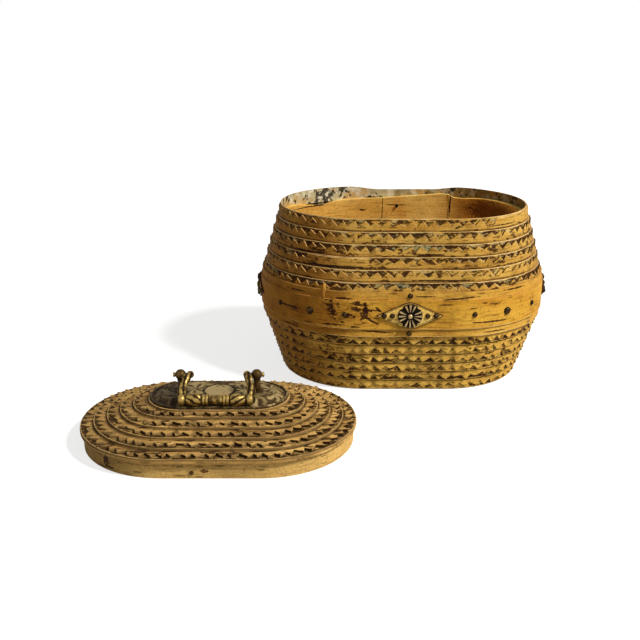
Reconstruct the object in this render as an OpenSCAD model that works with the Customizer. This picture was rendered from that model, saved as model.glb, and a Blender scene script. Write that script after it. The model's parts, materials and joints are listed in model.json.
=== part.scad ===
// A lidded bark box in layered, notched work, with its lid lying in front of it.
// The plan is an oval: two straight sides joined by half circles. Every layer is the same
// oval set further out or in, so one sweep and one outline serve the whole object.
// The origin is the centre of the box's underside, +Z is up and the front faces -Y.

/* [Body] */
// Width of the body over its wide strip
body_w = 279; // [250:1:310]
// How far the rim lies in from the face of the wide strip
rim_in = 19; // [15:0.5:26]
// How far the base lies in from the face of the wide strip
base_in = 20.5; // [15:0.5:26]
// Length of the straight front and back between the round ends
straight_l = 76; // [50:1:110]
// Thickness of the bottom board
bottom_t = 8; // [5:0.5:10]
// Height of the bark edges above the surface that the box stands on
foot_gap = 0.6; // [0.3:0.1:1.2]

/* [Bark courses] */
// Number of courses above the wide strip, and again below it
course_n = 6; // [6:1:6]
// Height from one upper course to the next
upper_pitch = 11; // [10:0.25:11.5]
// Height of the last upper course that shows above the wide strip
upper_reveal = 8; // [7:0.5:10]
// Height from one lower course to the next
lower_pitch = 10; // [9:0.25:10.5]
// Height of the last lower course that shows below the wide strip
lower_reveal = 9.5; // [7:0.5:9.5]
// How far each course runs on behind its neighbour
course_lap = 4; // [2:0.5:5]
// Thickness of the plain sheet in each course
plain_t = 1; // [0.8:0.1:1.2]
// Thickness of the toothed sheet in each course
toothed_t = 1; // [0.8:0.1:1.2]
// How far the plain sheet's edge stands past the tips of the teeth
edge_margin = 1.2; // [0.8:0.1:2]

/* [Teeth] */
// Distance from tooth to tooth on the body
tooth_pitch = 10.3; // [9:0.1:13]
// Height of the teeth on the body
tooth_h = 5.6; // [4:0.1:6]
// Distance from tooth to tooth on the lid
lid_tooth_pitch = 9.3; // [8:0.1:12]
// Depth of the teeth on the lid
lid_tooth_h = 6; // [4:0.1:7]
// Width of the flat that is left on a tooth's tip
tooth_flat = 1; // [0.6:0.1:2]

/* [Belt] */
// Height of the wide strip round the middle
strip_h = 43.9; // [39:0.1:50]
// Thickness of the wide strip
strip_t = 1.5; // [1:0.1:2]
// Height of the middle band on the wide strip
band_h = 28; // [20:1:34]
// Thickness of the middle band
band_t = 1.5; // [1:0.1:2.5]
// Length of a lozenge from tip to tip
lozenge_l = 60; // [50:1:66]
// Height of a lozenge
lozenge_h = 25; // [24:0.5:30]
// Thickness of a lozenge
lozenge_t = 1.8; // [1:0.1:3]

/* [Rosettes and tacks] */
// Diameter of a pressed rosette
rosette_d = 21.5; // [16:0.5:22]
// Height of a rosette's ribs above the lozenge
rosette_h = 2.4; // [1.8:0.1:3]
// Diameter of the boss in the middle of a rosette
rosette_boss_d = 5; // [4:0.5:6]
// Number of ribs in each of a rosette's four lobes
rib_n = 3; // [2:1:3]
// Diameter of a small tack's head
tack_d = 5; // [4:0.1:5.5]
// Diameter of a large tack's head
large_tack_d = 7.2; // [6:0.1:9]
// Diameter of the shank of a tack or a nail
shank_d = 1.6; // [1.2:0.1:2]
// Play round a shank in its hole
shank_play = 0.1; // [0.05:0.05:0.3]

/* [Liner] */
// Wall of the liner, measured level
liner_t = 4.5; // [4:0.1:6]
// How far the liner's top edge lies below the rim
liner_drop = 11; // [8:0.5:14]
// Place of the left seam of the liner's back panel
seam_left_x = -14; // [-35:1:-5]
// Place of the right seam of the liner's back panel
seam_right_x = 58; // [30:1:70]
// Width of the open seam on each side of the back panel
seam_gap = 0.5; // [0.3:0.1:1]
// Play between a sheet and what it lies against
seat_play = 0.05; // [0.02:0.01:0.1]
// Diameter of a liner nail's head
nail_d = 3.4; // [3:0.1:5]

/* [Lid] */
// Gap round the lid's edge inside the rim
lid_gap = 3.2; // [2:0.1:3.4]
// Gap between the lid's side band and the liner
plug_gap = 1.5; // [0.8:0.1:2]
// Height of the lid's side band
plug_h = 14; // [11:0.5:20]
// Thickness of the lid's side band
plug_t = 2.5; // [1.5:0.1:4]
// Thickness of the lid's board
lid_board_t = 1.6; // [1.2:0.1:3]
// Number of toothed rings on the lid
ring_n = 5; // [5:1:5]
// Thickness of the plain sheet in each ring
ring_plain_t = 1.7; // [1:0.1:2.5]
// Thickness of the toothed sheet in each ring
ring_toothed_t = 1.7; // [1:0.1:2.5]
// Width of the ledge from one ring's edge to the next
ring_step = 10.8; // [10.4:0.1:10.9]
// Thickness of the plain sheet on top, under the handle
top_sheet_t = 1.7; // [1:0.1:2.5]
// How far the top sheet stands out past the handle's back plate
top_margin = 1.5; // [0.5:0.1:2]
// How far a ring's plain sheet stands out past the tips of its teeth
ring_margin = 1.5; // [1:0.1:2.5]
// Sideways distance from the box's middle to the lid's middle
lid_x = -167; // [-190:1:-150]
// How far the back of the lid reaches past the front of the middle band
lid_past_front = 0.5; // [-30:0.5:8]

/* [Handle] */
// Distance between the handle's two posts
post_spacing = 64; // [60:0.5:70]
// How far the handle stands behind the lid's middle
post_back = 5.8; // [0:0.2:6]
// Height of the bail's axis above the lid
axis_h = 19.3; // [18.5:0.1:21]
// Diameter of a post's ball head
ball_d = 9.2; // [8.5:0.1:10.5]
// Diameter of the bail's pins
pin_d = 3; // [2.5:0.1:3.4]
// Play between a pin and its bore in the ball head
pin_play = 0.08; // [0.03:0.01:0.1]
// Diameter of a post's shank through the lid
post_shank_d = 4; // [3:0.5:5]
// Distance forward from the posts to the middle of the grip
reach = 26; // [25:0.5:28.5]
// Gap between the lying grip and the back plate's border
rest_gap = 0.3; // [0.2:0.1:0.8]
// Diameter of the grip's plain barrel
barrel_d = 7; // [6.4:0.1:7.6]
// Diameter of the grip's rings
grip_ring_d = 8.8; // [8:0.1:9.4]
// Diameter of the grip's bulbs
bulb_d = 10.2; // [9:0.1:10.4]
// Diameter of the balls where the grip meets its arms
elbow_d = 9; // [8:0.1:9.6]
// Length of the back plate
plate_l = 117; // [108:1:119]
// Depth of the back plate
plate_w = 57; // [55:1:58]
// Thickness of the back plate
plate_t = 0.8; // [0.5:0.1:1]
// Height of the raised border above the back plate's edge
border_h = 1.5; // [0.8:0.1:1.8]
// Width of the raised border
border_w = 2.4; // [1.5:0.1:3]
// Height of the back plate's raised field above its edge
field_h = 3.8; // [2:0.1:4]

/* [Hidden] */
$fn = 64;

bark_gold = [0.76, 0.58, 0.30];
bark_tan = [0.66, 0.48, 0.25];
bark_dark = [0.45, 0.31, 0.16];
liner_orange = [0.78, 0.52, 0.26];
lid_tan = [0.60, 0.44, 0.25];
old_brass = [0.55, 0.43, 0.17];
black_metal = [0.16, 0.15, 0.14];

// A small overreach that makes a cut run clean through a face
over = 1;

// The oval: every layer is an outline with its own end radius round the same straight length.
strip_r = (body_w - straight_l) / 2;
rim_r = strip_r - rim_in;
base_r = strip_r - base_in;
band_r = strip_r + band_t;

// The courses lie like clinker planks, each on the outer face of the one nearer the edge.
course_t = plain_t + toothed_t;
upper_zone = (course_n - 1) * upper_pitch + upper_reveal;
lower_zone = (course_n - 1) * lower_pitch + lower_reveal;
stacked_t = (course_n - 1) * course_t + toothed_t + strip_t;
upper_slope = (rim_in - stacked_t) / (upper_zone + course_lap);
lower_slope = (base_in - stacked_t) / (lower_zone + course_lap);
strip_bottom = foot_gap + lower_zone;
strip_top = strip_bottom + strip_h;
body_h = strip_top + upper_zone;
belt_z = (strip_top + strip_bottom) / 2;

// The liner follows the inner corners of the courses and runs upright behind the strip.
function liner_slope(pitch, slope) = slope + course_t / pitch;
function liner_r(edge_r, pitch, slope, drop) =
    edge_r + slope * (pitch + course_lap) - plain_t - seat_play
    + liner_slope(pitch, slope) * (drop - pitch - course_lap);
function liner_drop_at(edge_r, pitch, slope, r) =
    pitch + course_lap
    + (r - edge_r - slope * (pitch + course_lap) + plain_t + seat_play) / liner_slope(pitch, slope);
liner_mid_r = strip_r - strip_t - seat_play;
liner_top = body_h - liner_drop;
liner_top_r = liner_r(rim_r, upper_pitch, upper_slope, liner_drop);
liner_foot_r = liner_r(base_r, lower_pitch, lower_slope, bottom_t - foot_gap);
liner_upper_bend = body_h - liner_drop_at(rim_r, upper_pitch, upper_slope, liner_mid_r);
liner_lower_bend = foot_gap + liner_drop_at(base_r, lower_pitch, lower_slope, liner_mid_r);

// Shanks of the belt's tacks end just inside the liner's face.
tack_end_r = liner_mid_r + seat_play;
hole_d = shank_d + 2 * shank_play;
lozenge_tack_shares = [0.273, 0.662];
lozenge_tack_out = [for (share = lozenge_tack_shares) rosette_d / 2 + share * (lozenge_l - rosette_d) / 2];
strip_tack_z = (band_h + strip_h) / 4;
band_tack_angles = [38, 78];
large_tack_angle = 59;
dome_share = 0.42;
rosette_shank_d = 2.6;
rosette_t = 0.9;
rosette_lip = 0.6;
lobe_n = 4;
lobe_gap = 3.6;
rib_spread = 24;
rib_start_d = 0.7;

// The back panel is nailed near its top and near its foot.
nail_x = 1;
nail_inset = 10;
nail_heights = [liner_top - nail_inset, bottom_t + nail_inset];
nail_head_t = 0.8;
nail_bite = 3;

// The lid's sizes follow the rim and the liner that it drops into.
lid_r = rim_r - plain_t - lid_gap;
lid_y = lid_past_front - band_r - lid_r;
plug_r = liner_top_r - liner_t - plug_gap;
ring_t = ring_plain_t + ring_toothed_t;
lid_board_z = plug_h;
ring_z = lid_board_z + lid_board_t;
ring_shift = post_back / ring_n;
top_sheet_z = ring_z + ring_n * ring_t;
lid_top = top_sheet_z + top_sheet_t;
band_split_angle = 208;
band_split_w = 1.2;
lid_nail_x = -14;
lid_nail_z = 5;

// The handle's sizes from the pin axis outward.
post_hole_d = post_shank_d + 0.4;
post_foot_z = plate_t + field_h;
post_foot_d = 9;
post_foot_t = 0.8;
post_bell_d = 6.4;
post_waist_d = 4.2;
post_collar_d = 6.2;
post_collar_t = 1.1;
post_bell_h = axis_h - ball_d / 2 - post_collar_t / 2 - post_foot_z - post_foot_t;
profile_steps = 10;
washer_t = 0.8;
washer_d = 10;
nut_w = 7;
nut_t = 3;
shank_past_nut = 0.8;
rivet_d = 4.6;
rivet_t = 1.6;
rivet_gap = 0.3;
ball_gap = 0.3;
neck_d = 6.4;
arm_start_d = 4.8;
arm_end_d = 6;
elbow_in = 4;
elbow_x = post_spacing / 2 - elbow_in;
grip_h = plate_t + border_h + bulb_d / 2 + rest_gap;
barrel_l = 12;
grip_ring_w = 2.2;
grip_groove_d = 6;
grip_groove_w = 0.6;
arm_sides = 12;
arm_steps = 14;
cartouche_d = 25;
cartouche_h = 0.5;
shoulder_w = 6;
shoulder_in = border_w + 1;

// Outline of an oval with the given end radius round a straight length
module oval(r, length = straight_l) {
    for (side = [-1, 1]) translate([side * length / 2, 0]) circle(r);
    square([length, 2 * r], center = true);
}

// Sweeps a profile of radius and height round an oval
module sweep_oval(length = straight_l) {
    for (side = [0, 1]) mirror([side, 0, 0])
        translate([length / 2, 0, 0]) rotate([0, 0, -90]) rotate_extrude(angle = 180) children();
    for (side = [0, 1]) mirror([0, side, 0])
        translate([-length / 2, 0, 0]) rotate([90, 0, 90]) linear_extrude(length) children();
}

// Places children at every notch of an oval with the given end radius, facing outward
module at_notches(r, pitch) {
    end_n = round(PI * r / pitch);
    side_n = round(straight_l / pitch);
    for (side = [0, 180]) rotate([0, 0, side]) {
        for (i = [0 : end_n - 1]) translate([straight_l / 2, 0, 0])
            rotate([0, 0, (i + 0.5) * 180 / end_n - 90]) translate([r, 0, 0]) children();
        for (i = [0 : side_n - 1])
            translate([((i + 0.5) / side_n - 0.5) * straight_l, r, 0]) rotate([0, 0, 90]) children();
    }
}

// Width of the mouth of a notch whose neighbours keep a flat tip
function notch_w(r, pitch) = PI * r / round(PI * r / pitch) - tooth_flat;

// Turns the edge of a course upside down when it belongs to the lower half
module half_of_body(upper) {
    translate([0, 0, upper ? body_h : foot_gap]) mirror([0, 0, upper ? 1 : 0]) children();
}

// One sheet of a course as a leaning strip, drawn from the body's edge at drop 0
module course_strip(edge_r, pitch, slope, zone, k, from, inner, thickness) {
    start = (k - 1) * pitch;
    end = k < course_n ? k * pitch + course_lap : zone + course_lap;
    face = edge_r + (k - 1) * (slope * pitch + course_t) + inner;
    sweep_oval() polygon([
        [face + slope * from, start + from],
        [face + slope * from + thickness, start + from],
        [face + slope * (end - start) + thickness, end],
        [face + slope * (end - start), end]
    ]);
}

// The plain sheet of course k, counted from the body's edge
module plain_sheet(upper, k) {
    half_of_body(upper)
        if (upper) course_strip(rim_r, upper_pitch, upper_slope, upper_zone, k, 0, -plain_t, plain_t);
        else course_strip(base_r, lower_pitch, lower_slope, lower_zone, k, 0, -plain_t, plain_t);
}

// The toothed sheet of course k, notched along the edge that shows
module toothed_sheet(upper, k) {
    edge_r = upper ? rim_r : base_r;
    pitch = upper ? upper_pitch : lower_pitch;
    slope = upper ? upper_slope : lower_slope;
    zone = upper ? upper_zone : lower_zone;
    face_r = edge_r + (k - 1) * (slope * pitch + course_t);
    half_of_body(upper) difference() {
        course_strip(edge_r, pitch, slope, zone, k, edge_margin, 0, toothed_t);
        translate([0, 0, (k - 1) * pitch + edge_margin])
            at_notches(face_r, tooth_pitch) tooth_notch(notch_w(face_r, tooth_pitch), tooth_h);
    }
}

// A three-sided cutter for one notch, opening downward and facing outward
module tooth_notch(mouth, depth) {
    run = mouth * over / depth / 2;
    rotate([90, 0, 90]) translate([0, 0, -2 * course_t]) linear_extrude(5 * course_t) polygon([
        [-mouth / 2 - run, -over],
        [mouth / 2 + run, -over],
        [0, depth]
    ]);
}

// The liner's whole wall, before its seams are cut
module liner_wall() {
    sweep_oval() polygon([
        [liner_foot_r, bottom_t],
        [liner_mid_r, liner_lower_bend],
        [liner_mid_r, liner_upper_bend],
        [liner_top_r, liner_top],
        [liner_top_r - liner_t, liner_top],
        [liner_mid_r - liner_t, liner_upper_bend],
        [liner_mid_r - liner_t, liner_lower_bend],
        [liner_foot_r - liner_t, bottom_t]
    ]);
}

// The slot in the back of the liner that takes the back panel, less a margin on each side
module panel_space(margin) {
    translate([seam_left_x + margin, 0, 0])
        cube([seam_right_x - seam_left_x - 2 * margin, strip_r + over, body_h]);
}

// Places children on the belt: turn 0 is the right end, 90 the back, 180 the left, 270 the front
module on_belt(turn, r) {
    rotate([0, 0, turn]) translate([r + (turn % 180 == 0 ? straight_l / 2 : 0), 0, belt_z])
        rotate([90, 0, 90]) children();
}

// Places children on a round end, turned from the end's middle toward the front and the back
module on_ends(turn, r) {
    for (side = [0, 180], way = [-1, 1])
        rotate([0, 0, side]) translate([straight_l / 2, 0, belt_z])
            rotate([0, 0, way * turn]) translate([r, 0, 0]) rotate([90, 0, 90]) children();
}

// Outline of a lozenge: two pointed ends that run into a round middle
module lozenge_outline() {
    middle_r = lozenge_h / 2;
    touch = acos(lozenge_h / lozenge_l);
    circle(middle_r);
    for (side = [0, 1]) mirror([side, 0])
        polygon([[lozenge_l / 2, 0], middle_r * [cos(touch), sin(touch)], middle_r * [cos(touch), -sin(touch)]]);
}

// A lozenge that lies on the belt, bent where the belt is round
module lozenge(turn) {
    difference() {
        intersection() {
            translate([0, 0, belt_z - lozenge_h])
                sweep_oval() translate([band_r, 0]) square([lozenge_t, 2 * lozenge_h]);
            on_belt(turn, strip_r / 2) linear_extrude(strip_r) lozenge_outline();
        }
        tack_holes();
        rosette_holes();
    }
}

// A domed head on a shank, with the underside of the head at height zero
module tack(head_d, shank_l) {
    dome_r = head_d / 2;
    dome_h = head_d * dome_share;
    sphere_r = (dome_r * dome_r + dome_h * dome_h) / 2 / dome_h;
    rotate_extrude() intersection() {
        translate([0, dome_h - sphere_r]) circle(sphere_r);
        square([dome_r, dome_h]);
    }
    translate([0, 0, -shank_l]) cylinder(d = shank_d, h = shank_l + dome_h / 2);
}

// Hole for a shank, from the liner's face outward
module shank_hole(d) {
    translate([0, 0, -over]) cylinder(d = d, h = strip_t + band_t + lozenge_t + 2 * over);
}

// Places children at the lozenges' tacks; those on the ends stand square to the round
module at_lozenge_tacks(r) {
    for (out = lozenge_tack_out) {
        for (turn = [90, 270], side = [-1, 1]) on_belt(turn, r) translate([side * out, 0, 0]) children();
        on_ends(out / band_r * 180 / PI, r) children();
    }
}

// Places children at the tacks of the strip, above and below the band at front and back
module at_strip_tacks(r) {
    for (turn = [90, 270], side = [-1, 1]) on_belt(turn, r) translate([0, side * strip_tack_z, 0]) children();
}

// Every hole that a small or large tack makes in the belt
module tack_holes() {
    at_lozenge_tacks(tack_end_r) shank_hole(hole_d);
    at_strip_tacks(tack_end_r) shank_hole(hole_d);
    for (turn = band_tack_angles) on_ends(turn, tack_end_r) shank_hole(hole_d);
    on_ends(large_tack_angle, tack_end_r) shank_hole(hole_d);
}

// The four holes for the rosettes' shanks
module rosette_holes() {
    for (turn = [0 : 90 : 270]) on_belt(turn, tack_end_r) shank_hole(rosette_shank_d + 2 * shank_play);
}

// A pressed rosette: a disc notched into four lobes, each with ribs that spread from the boss
module rosette() {
    seat = lozenge_t;
    disc_r = rosette_d / 2;
    rib_at = rosette_boss_d * 0.4;
    difference() {
        translate([0, 0, seat]) rotate_extrude() polygon([
            [0, 0], [disc_r - rosette_lip, 0], [disc_r, rosette_t / 2],
            [disc_r - rosette_lip, rosette_t], [0, rosette_t]
        ]);
        for (i = [0 : lobe_n - 1]) rotate([0, 0, (i + 0.5) * 360 / lobe_n])
            translate([disc_r + lobe_gap / 6, 0, seat - over]) cylinder(d = lobe_gap, h = rosette_h + 2 * over);
    }
    intersection() {
        translate([0, 0, seat]) cylinder(r = disc_r - rosette_lip, h = rosette_h);
        for (lobe = [0 : lobe_n - 1], i = [0 : rib_n - 1])
            rotate([0, 0, lobe * 360 / lobe_n + (i - (rib_n - 1) / 2) * rib_spread])
                translate([rib_at, 0, seat + rosette_t]) rotate([0, 90, 0])
                    cylinder(d1 = rib_start_d, d2 = 2 * (rosette_h - rosette_t), h = disc_r - rib_at);
    }
    translate([0, 0, seat + rosette_t]) rotate_extrude() intersection() {
        circle(d = rosette_boss_d);
        square([rosette_boss_d / 2, rosette_boss_d / 2]);
    }
    translate([0, 0, tack_end_r - band_r])
        cylinder(d = rosette_shank_d, h = band_r - tack_end_r + seat + rosette_t / 2);
}

// Moves children from the lid's middle to where the lid lies
module on_lid() {
    translate([lid_x, lid_y, 0]) children();
}

// The two holes for the posts' shanks
module post_holes() {
    for (side = [-1, 1]) translate([side * post_spacing / 2, post_back, -over])
        cylinder(d = post_hole_d, h = lid_top + post_foot_z + 2 * over);
}

// The plain sheet of ring k, the lowest being ring 1
module lid_plain_sheet(k) {
    color(lid_tan) on_lid() difference() {
        translate([0, (k - 1) * ring_shift, ring_z + (k - 1) * ring_t])
            linear_extrude(ring_plain_t) oval(lid_r - (k - 1) * ring_step);
        post_holes();
    }
}

// The toothed sheet of ring k, its teeth pointing outward
module lid_toothed_sheet(k) {
    tip_r = lid_r - (k - 1) * ring_step - ring_margin;
    mouth = notch_w(tip_r, lid_tooth_pitch);
    color(lid_tan) on_lid() difference() {
        translate([0, (k - 1) * ring_shift, ring_z + (k - 1) * ring_t + ring_plain_t])
            linear_extrude(ring_toothed_t) difference() {
                oval(tip_r);
                at_notches(tip_r, lid_tooth_pitch) polygon([
                    [over, -mouth * (1 + over / lid_tooth_h) / 2],
                    [over, mouth * (1 + over / lid_tooth_h) / 2],
                    [-lid_tooth_h, 0]
                ]);
            }
        post_holes();
    }
}

// The plain sheet that closes the top, under the handle
module lid_top_sheet() {
    color(lid_tan) on_lid() difference() {
        translate([0, post_back, top_sheet_z]) linear_extrude(top_sheet_t) plate_outline(-top_margin);
        post_holes();
    }
}

// One post: a foot, a bell, a collar and a ball head with its cross bore, and the shank below
module post() {
    ball_r = ball_d / 2;
    waist_r = post_waist_d / 2;
    bell_z = post_foot_z + post_foot_t;
    collar_z = bell_z + post_bell_h;
    bell = [for (i = [0 : profile_steps]) let (t = i / profile_steps)
        [waist_r + (post_bell_d / 2 - waist_r) * sin(180 * sqrt(t)), bell_z + t * post_bell_h]];
    difference() {
        union() {
            rotate_extrude() polygon(concat(
                [[0, post_foot_z], [post_foot_d / 2, post_foot_z], [post_foot_d / 2, bell_z]],
                bell,
                [[post_collar_d / 2, collar_z], [post_collar_d / 2, collar_z + post_collar_t]],
                [[waist_r, collar_z + post_collar_t], [waist_r, axis_h], [0, axis_h]]
            ));
            translate([0, 0, axis_h]) sphere(d = ball_d);
            shank_l = lid_top - plug_h + washer_t + nut_t + shank_past_nut;
            translate([0, 0, -shank_l]) cylinder(d = post_shank_d, h = shank_l + post_foot_z + post_foot_t / 2);
        }
        translate([0, 0, axis_h]) rotate([0, 90, 0]) cylinder(d = pin_d + 2 * pin_play, h = 2 * ball_d, center = true);
    }
}

// Places children at a post's foot on the lid's top: side -1 is the left one
module at_post(side) {
    on_lid() translate([side * post_spacing / 2, post_back, lid_top]) children();
}

// Smooth path of one arm of the bail from its pin to its elbow, for share t of the way
arm_start = [post_spacing / 2 - ball_d / 2 - ball_gap - neck_d / 2, 0, 0];
arm_crest = [arm_start[0] - neck_d * 0.3, -reach * 0.3, neck_d * 0.8];
arm_turn = [elbow_x - neck_d / 4, -reach * 0.55, (grip_h - axis_h) * 0.5];
arm_end = [elbow_x, -reach, grip_h - axis_h];
function arm_point(t) =
    pow(1 - t, 3) * arm_start + 3 * pow(1 - t, 2) * t * arm_crest
    + 3 * (1 - t) * t * t * arm_turn + pow(t, 3) * arm_end;
function arm_radius(t) = (arm_start_d + (arm_end_d - arm_start_d) * t) / 2;
function unit(v) = v / norm(v);
function arm_heading(t) = unit(arm_point(min(t + 0.01, 1)) - arm_point(max(t - 0.01, 0)));
function arm_ring(t) =
    let (ahead = arm_heading(t), across = unit(cross(ahead, [1, 0, 0])), up = cross(across, ahead))
    [for (i = [0 : arm_sides - 1])
        arm_point(t) + arm_radius(t) * (cos(i * 360 / arm_sides) * across + sin(i * 360 / arm_sides) * up)];

// One arm of the bail as a tapered tube swept along its path
module bail_arm() {
    points = [for (step = [0 : arm_steps]) each arm_ring(step / arm_steps)];
    sides = [for (step = [0 : arm_steps - 1], i = [0 : arm_sides - 1])
        let (a = step * arm_sides, j = (i + 1) % arm_sides)
        [a + i, a + j, a + arm_sides + j, a + arm_sides + i]];
    first = [for (i = [arm_sides - 1 : -1 : 0]) i];
    last = [for (i = [0 : arm_sides - 1]) arm_steps * arm_sides + i];
    polyhedron(points, concat([first], sides, [last]));
}

// The turned grip along X: a plain barrel, two rings and a bulb on each side
module grip() {
    ring_at = barrel_l / 2;
    bulb_at = ring_at + 2 * (grip_ring_w + grip_groove_w);
    bulb_l = elbow_x - elbow_d / 3 - bulb_at;
    rotate([0, 90, 0]) cylinder(d = barrel_d, h = barrel_l + 2 * over, center = true);
    for (side = [0, 1]) mirror([side, 0, 0]) rotate([0, 90, 0]) {
        cylinder(d = grip_groove_d, h = elbow_x);
        for (i = [0, 1]) translate([0, 0, ring_at + i * (grip_ring_w + grip_groove_w)])
            cylinder(d = grip_ring_d, h = grip_ring_w);
        translate([0, 0, bulb_at]) cylinder(d1 = grip_groove_d, d2 = bulb_d, h = bulb_l * 0.35);
        translate([0, 0, bulb_at + bulb_l * 0.35]) cylinder(d1 = bulb_d, d2 = grip_groove_d, h = bulb_l * 0.65);
        translate([0, 0, elbow_x]) sphere(d = elbow_d);
    }
}

module bottom_board() {
    color(bark_dark) linear_extrude(bottom_t) oval(base_r - plain_t - seat_play);
}

module liner_wrap() {
    color(liner_orange) difference() {
        liner_wall();
        panel_space(0);
    }
}

module liner_back_panel() {
    color(liner_orange) difference() {
        intersection() {
            liner_wall();
            panel_space(seam_gap);
        }
        liner_nail_places() translate([0, 0, -over]) cylinder(d = hole_d, h = nail_bite + 2 * over);
    }
}

// Places children on the inner face of the back panel, pointing into the wall
module liner_nail_places() {
    for (z = nail_heights) translate([nail_x, nail_face_y(z), z]) rotate([-90, 0, 0]) children();
}

// Inner face of the liner at height z
function nail_face_y(z) = z > liner_upper_bend
    ? liner_r(rim_r, upper_pitch, upper_slope, body_h - z) - liner_t
    : liner_mid_r - liner_t - max(0, liner_lower_bend - z) * liner_slope(lower_pitch, lower_slope);

module liner_nails() {
    color(black_metal) liner_nail_places() {
        translate([0, 0, -nail_head_t - nail_lift]) cylinder(d = nail_d, h = nail_head_t);
        translate([0, 0, -nail_head_t / 2 - nail_lift]) cylinder(d = shank_d, h = nail_bite + nail_lift);
    }
}

// The wall leans, so a nail's flat head stands off it by this much
nail_lift = nail_d / 2 * liner_slope(lower_pitch, lower_slope);

module upper_plain_sheet(k) {
    color(bark_tan) plain_sheet(true, k);
}

module upper_toothed_sheet(k) {
    color(bark_gold) toothed_sheet(true, k);
}

module lower_plain_sheet(k) {
    color(bark_tan) plain_sheet(false, k);
}

module lower_toothed_sheet(k) {
    color(bark_gold) toothed_sheet(false, k);
}

module wide_strip() {
    color(bark_gold) difference() {
        translate([0, 0, strip_bottom]) sweep_oval()
            translate([strip_r - strip_t, 0]) square([strip_t, strip_top - strip_bottom]);
        tack_holes();
        rosette_holes();
    }
}

module middle_band() {
    color(bark_gold) difference() {
        translate([0, 0, belt_z - band_h / 2]) sweep_oval() translate([strip_r, 0]) square([band_t, band_h]);
        tack_holes();
        rosette_holes();
    }
}

module lozenge_front() {
    color(bark_gold) lozenge(270);
}

module lozenge_back() {
    color(bark_gold) lozenge(90);
}

module lozenge_left() {
    color(bark_gold) lozenge(180);
}

module lozenge_right() {
    color(bark_gold) lozenge(0);
}

module rosettes() {
    color(black_metal) for (turn = [0 : 90 : 270]) on_belt(turn, band_r) rosette();
}

module lozenge_tacks() {
    seat_r = band_r + lozenge_t;
    color(black_metal) at_lozenge_tacks(seat_r) tack(tack_d, seat_r - tack_end_r);
}

module band_tacks() {
    color(black_metal) {
        at_strip_tacks(strip_r) tack(tack_d, strip_r - tack_end_r);
        for (turn = band_tack_angles) on_ends(turn, band_r) tack(tack_d, band_r - tack_end_r);
    }
}

module large_tacks() {
    color(black_metal) on_ends(large_tack_angle, band_r) tack(large_tack_d, band_r - tack_end_r);
}

module lid_side_band() {
    color(bark_gold) on_lid() difference() {
        linear_extrude(plug_h) difference() {
            oval(plug_r);
            oval(plug_r - plug_t);
        }
        translate([-straight_l / 2, 0, -over]) rotate([0, 0, band_split_angle])
            translate([plug_r - plug_t - over, 0, 0]) cube([plug_t + 2 * over, band_split_w, plug_h + 2 * over]);
        lid_nail_place() cylinder(d = hole_d, h = plug_t + over);
    }
}

// Places children on the front face of the side band, pointing into it
module lid_nail_place() {
    translate([lid_nail_x, -plug_r, lid_nail_z]) rotate([-90, 0, 0]) children();
}

module lid_band_nail() {
    color(black_metal) on_lid() lid_nail_place() {
        translate([0, 0, -nail_head_t]) cylinder(d = nail_d, h = nail_head_t);
        translate([0, 0, -nail_head_t / 2]) cylinder(d = shank_d, h = plug_t + nail_head_t / 2);
    }
}

module lid_board() {
    color(bark_dark) on_lid() difference() {
        translate([0, 0, lid_board_z]) linear_extrude(lid_board_t) oval(lid_r);
        post_holes();
    }
}

// Outline of the back plate, less a margin all round
module plate_outline(inset) {
    oval(plate_w / 2 - inset, plate_l - plate_w);
}

// The back plate is pressed: a flat edge with a raised border, a shoulder and a raised field
module handle_back_plate() {
    edge_r = plate_w / 2;
    shoulder_r = edge_r - shoulder_in;
    field_r = shoulder_r - shoulder_w;
    color(old_brass) on_lid() difference() {
        translate([0, post_back, lid_top]) {
            sweep_oval(plate_l - plate_w) polygon([
                [0, field_h], [field_r, field_h], [shoulder_r, 0], [edge_r, 0], [edge_r, plate_t],
                [edge_r - border_w / 2, plate_t + border_h], [edge_r - border_w, plate_t],
                [shoulder_r, plate_t], [field_r, field_h + plate_t], [0, field_h + plate_t]
            ]);
            translate([0, 0, field_h]) cylinder(d = cartouche_d, h = plate_t + cartouche_h);
        }
        post_holes();
    }
}

module left_post() {
    color(old_brass) at_post(-1) post();
}

module right_post() {
    color(old_brass) at_post(1) post();
}

module post_washers() {
    color(old_brass) for (side = [-1, 1]) at_post(side) translate([0, 0, plug_h - lid_top - washer_t])
        difference() {
            cylinder(d = washer_d, h = washer_t);
            translate([0, 0, -over]) cylinder(d = post_hole_d, h = washer_t + 2 * over);
        }
}

module post_nuts() {
    color(old_brass) for (side = [-1, 1]) at_post(side) translate([0, 0, plug_h - lid_top - washer_t - nut_t])
        linear_extrude(nut_t) difference() {
            square(nut_w, center = true);
            circle(d = post_shank_d + 2 * seat_play);
        }
}

module bail() {
    color(old_brass) on_lid() translate([0, post_back, lid_top + axis_h]) {
        for (side = [0, 1]) mirror([side, 0, 0]) {
            bail_arm();
            translate(arm_start) sphere(d = neck_d);
            translate([arm_start[0], 0, 0]) rotate([0, 90, 0])
                cylinder(d = pin_d, h = post_spacing / 2 + ball_d / 2 + rivet_gap + rivet_t / 2 - arm_start[0]);
            translate([post_spacing / 2 + ball_d / 2 + rivet_gap, 0, 0]) rotate([0, 90, 0])
                cylinder(d = rivet_d, h = rivet_t);
        }
        translate([0, -reach, grip_h - axis_h]) grip();
    }
}

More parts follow.
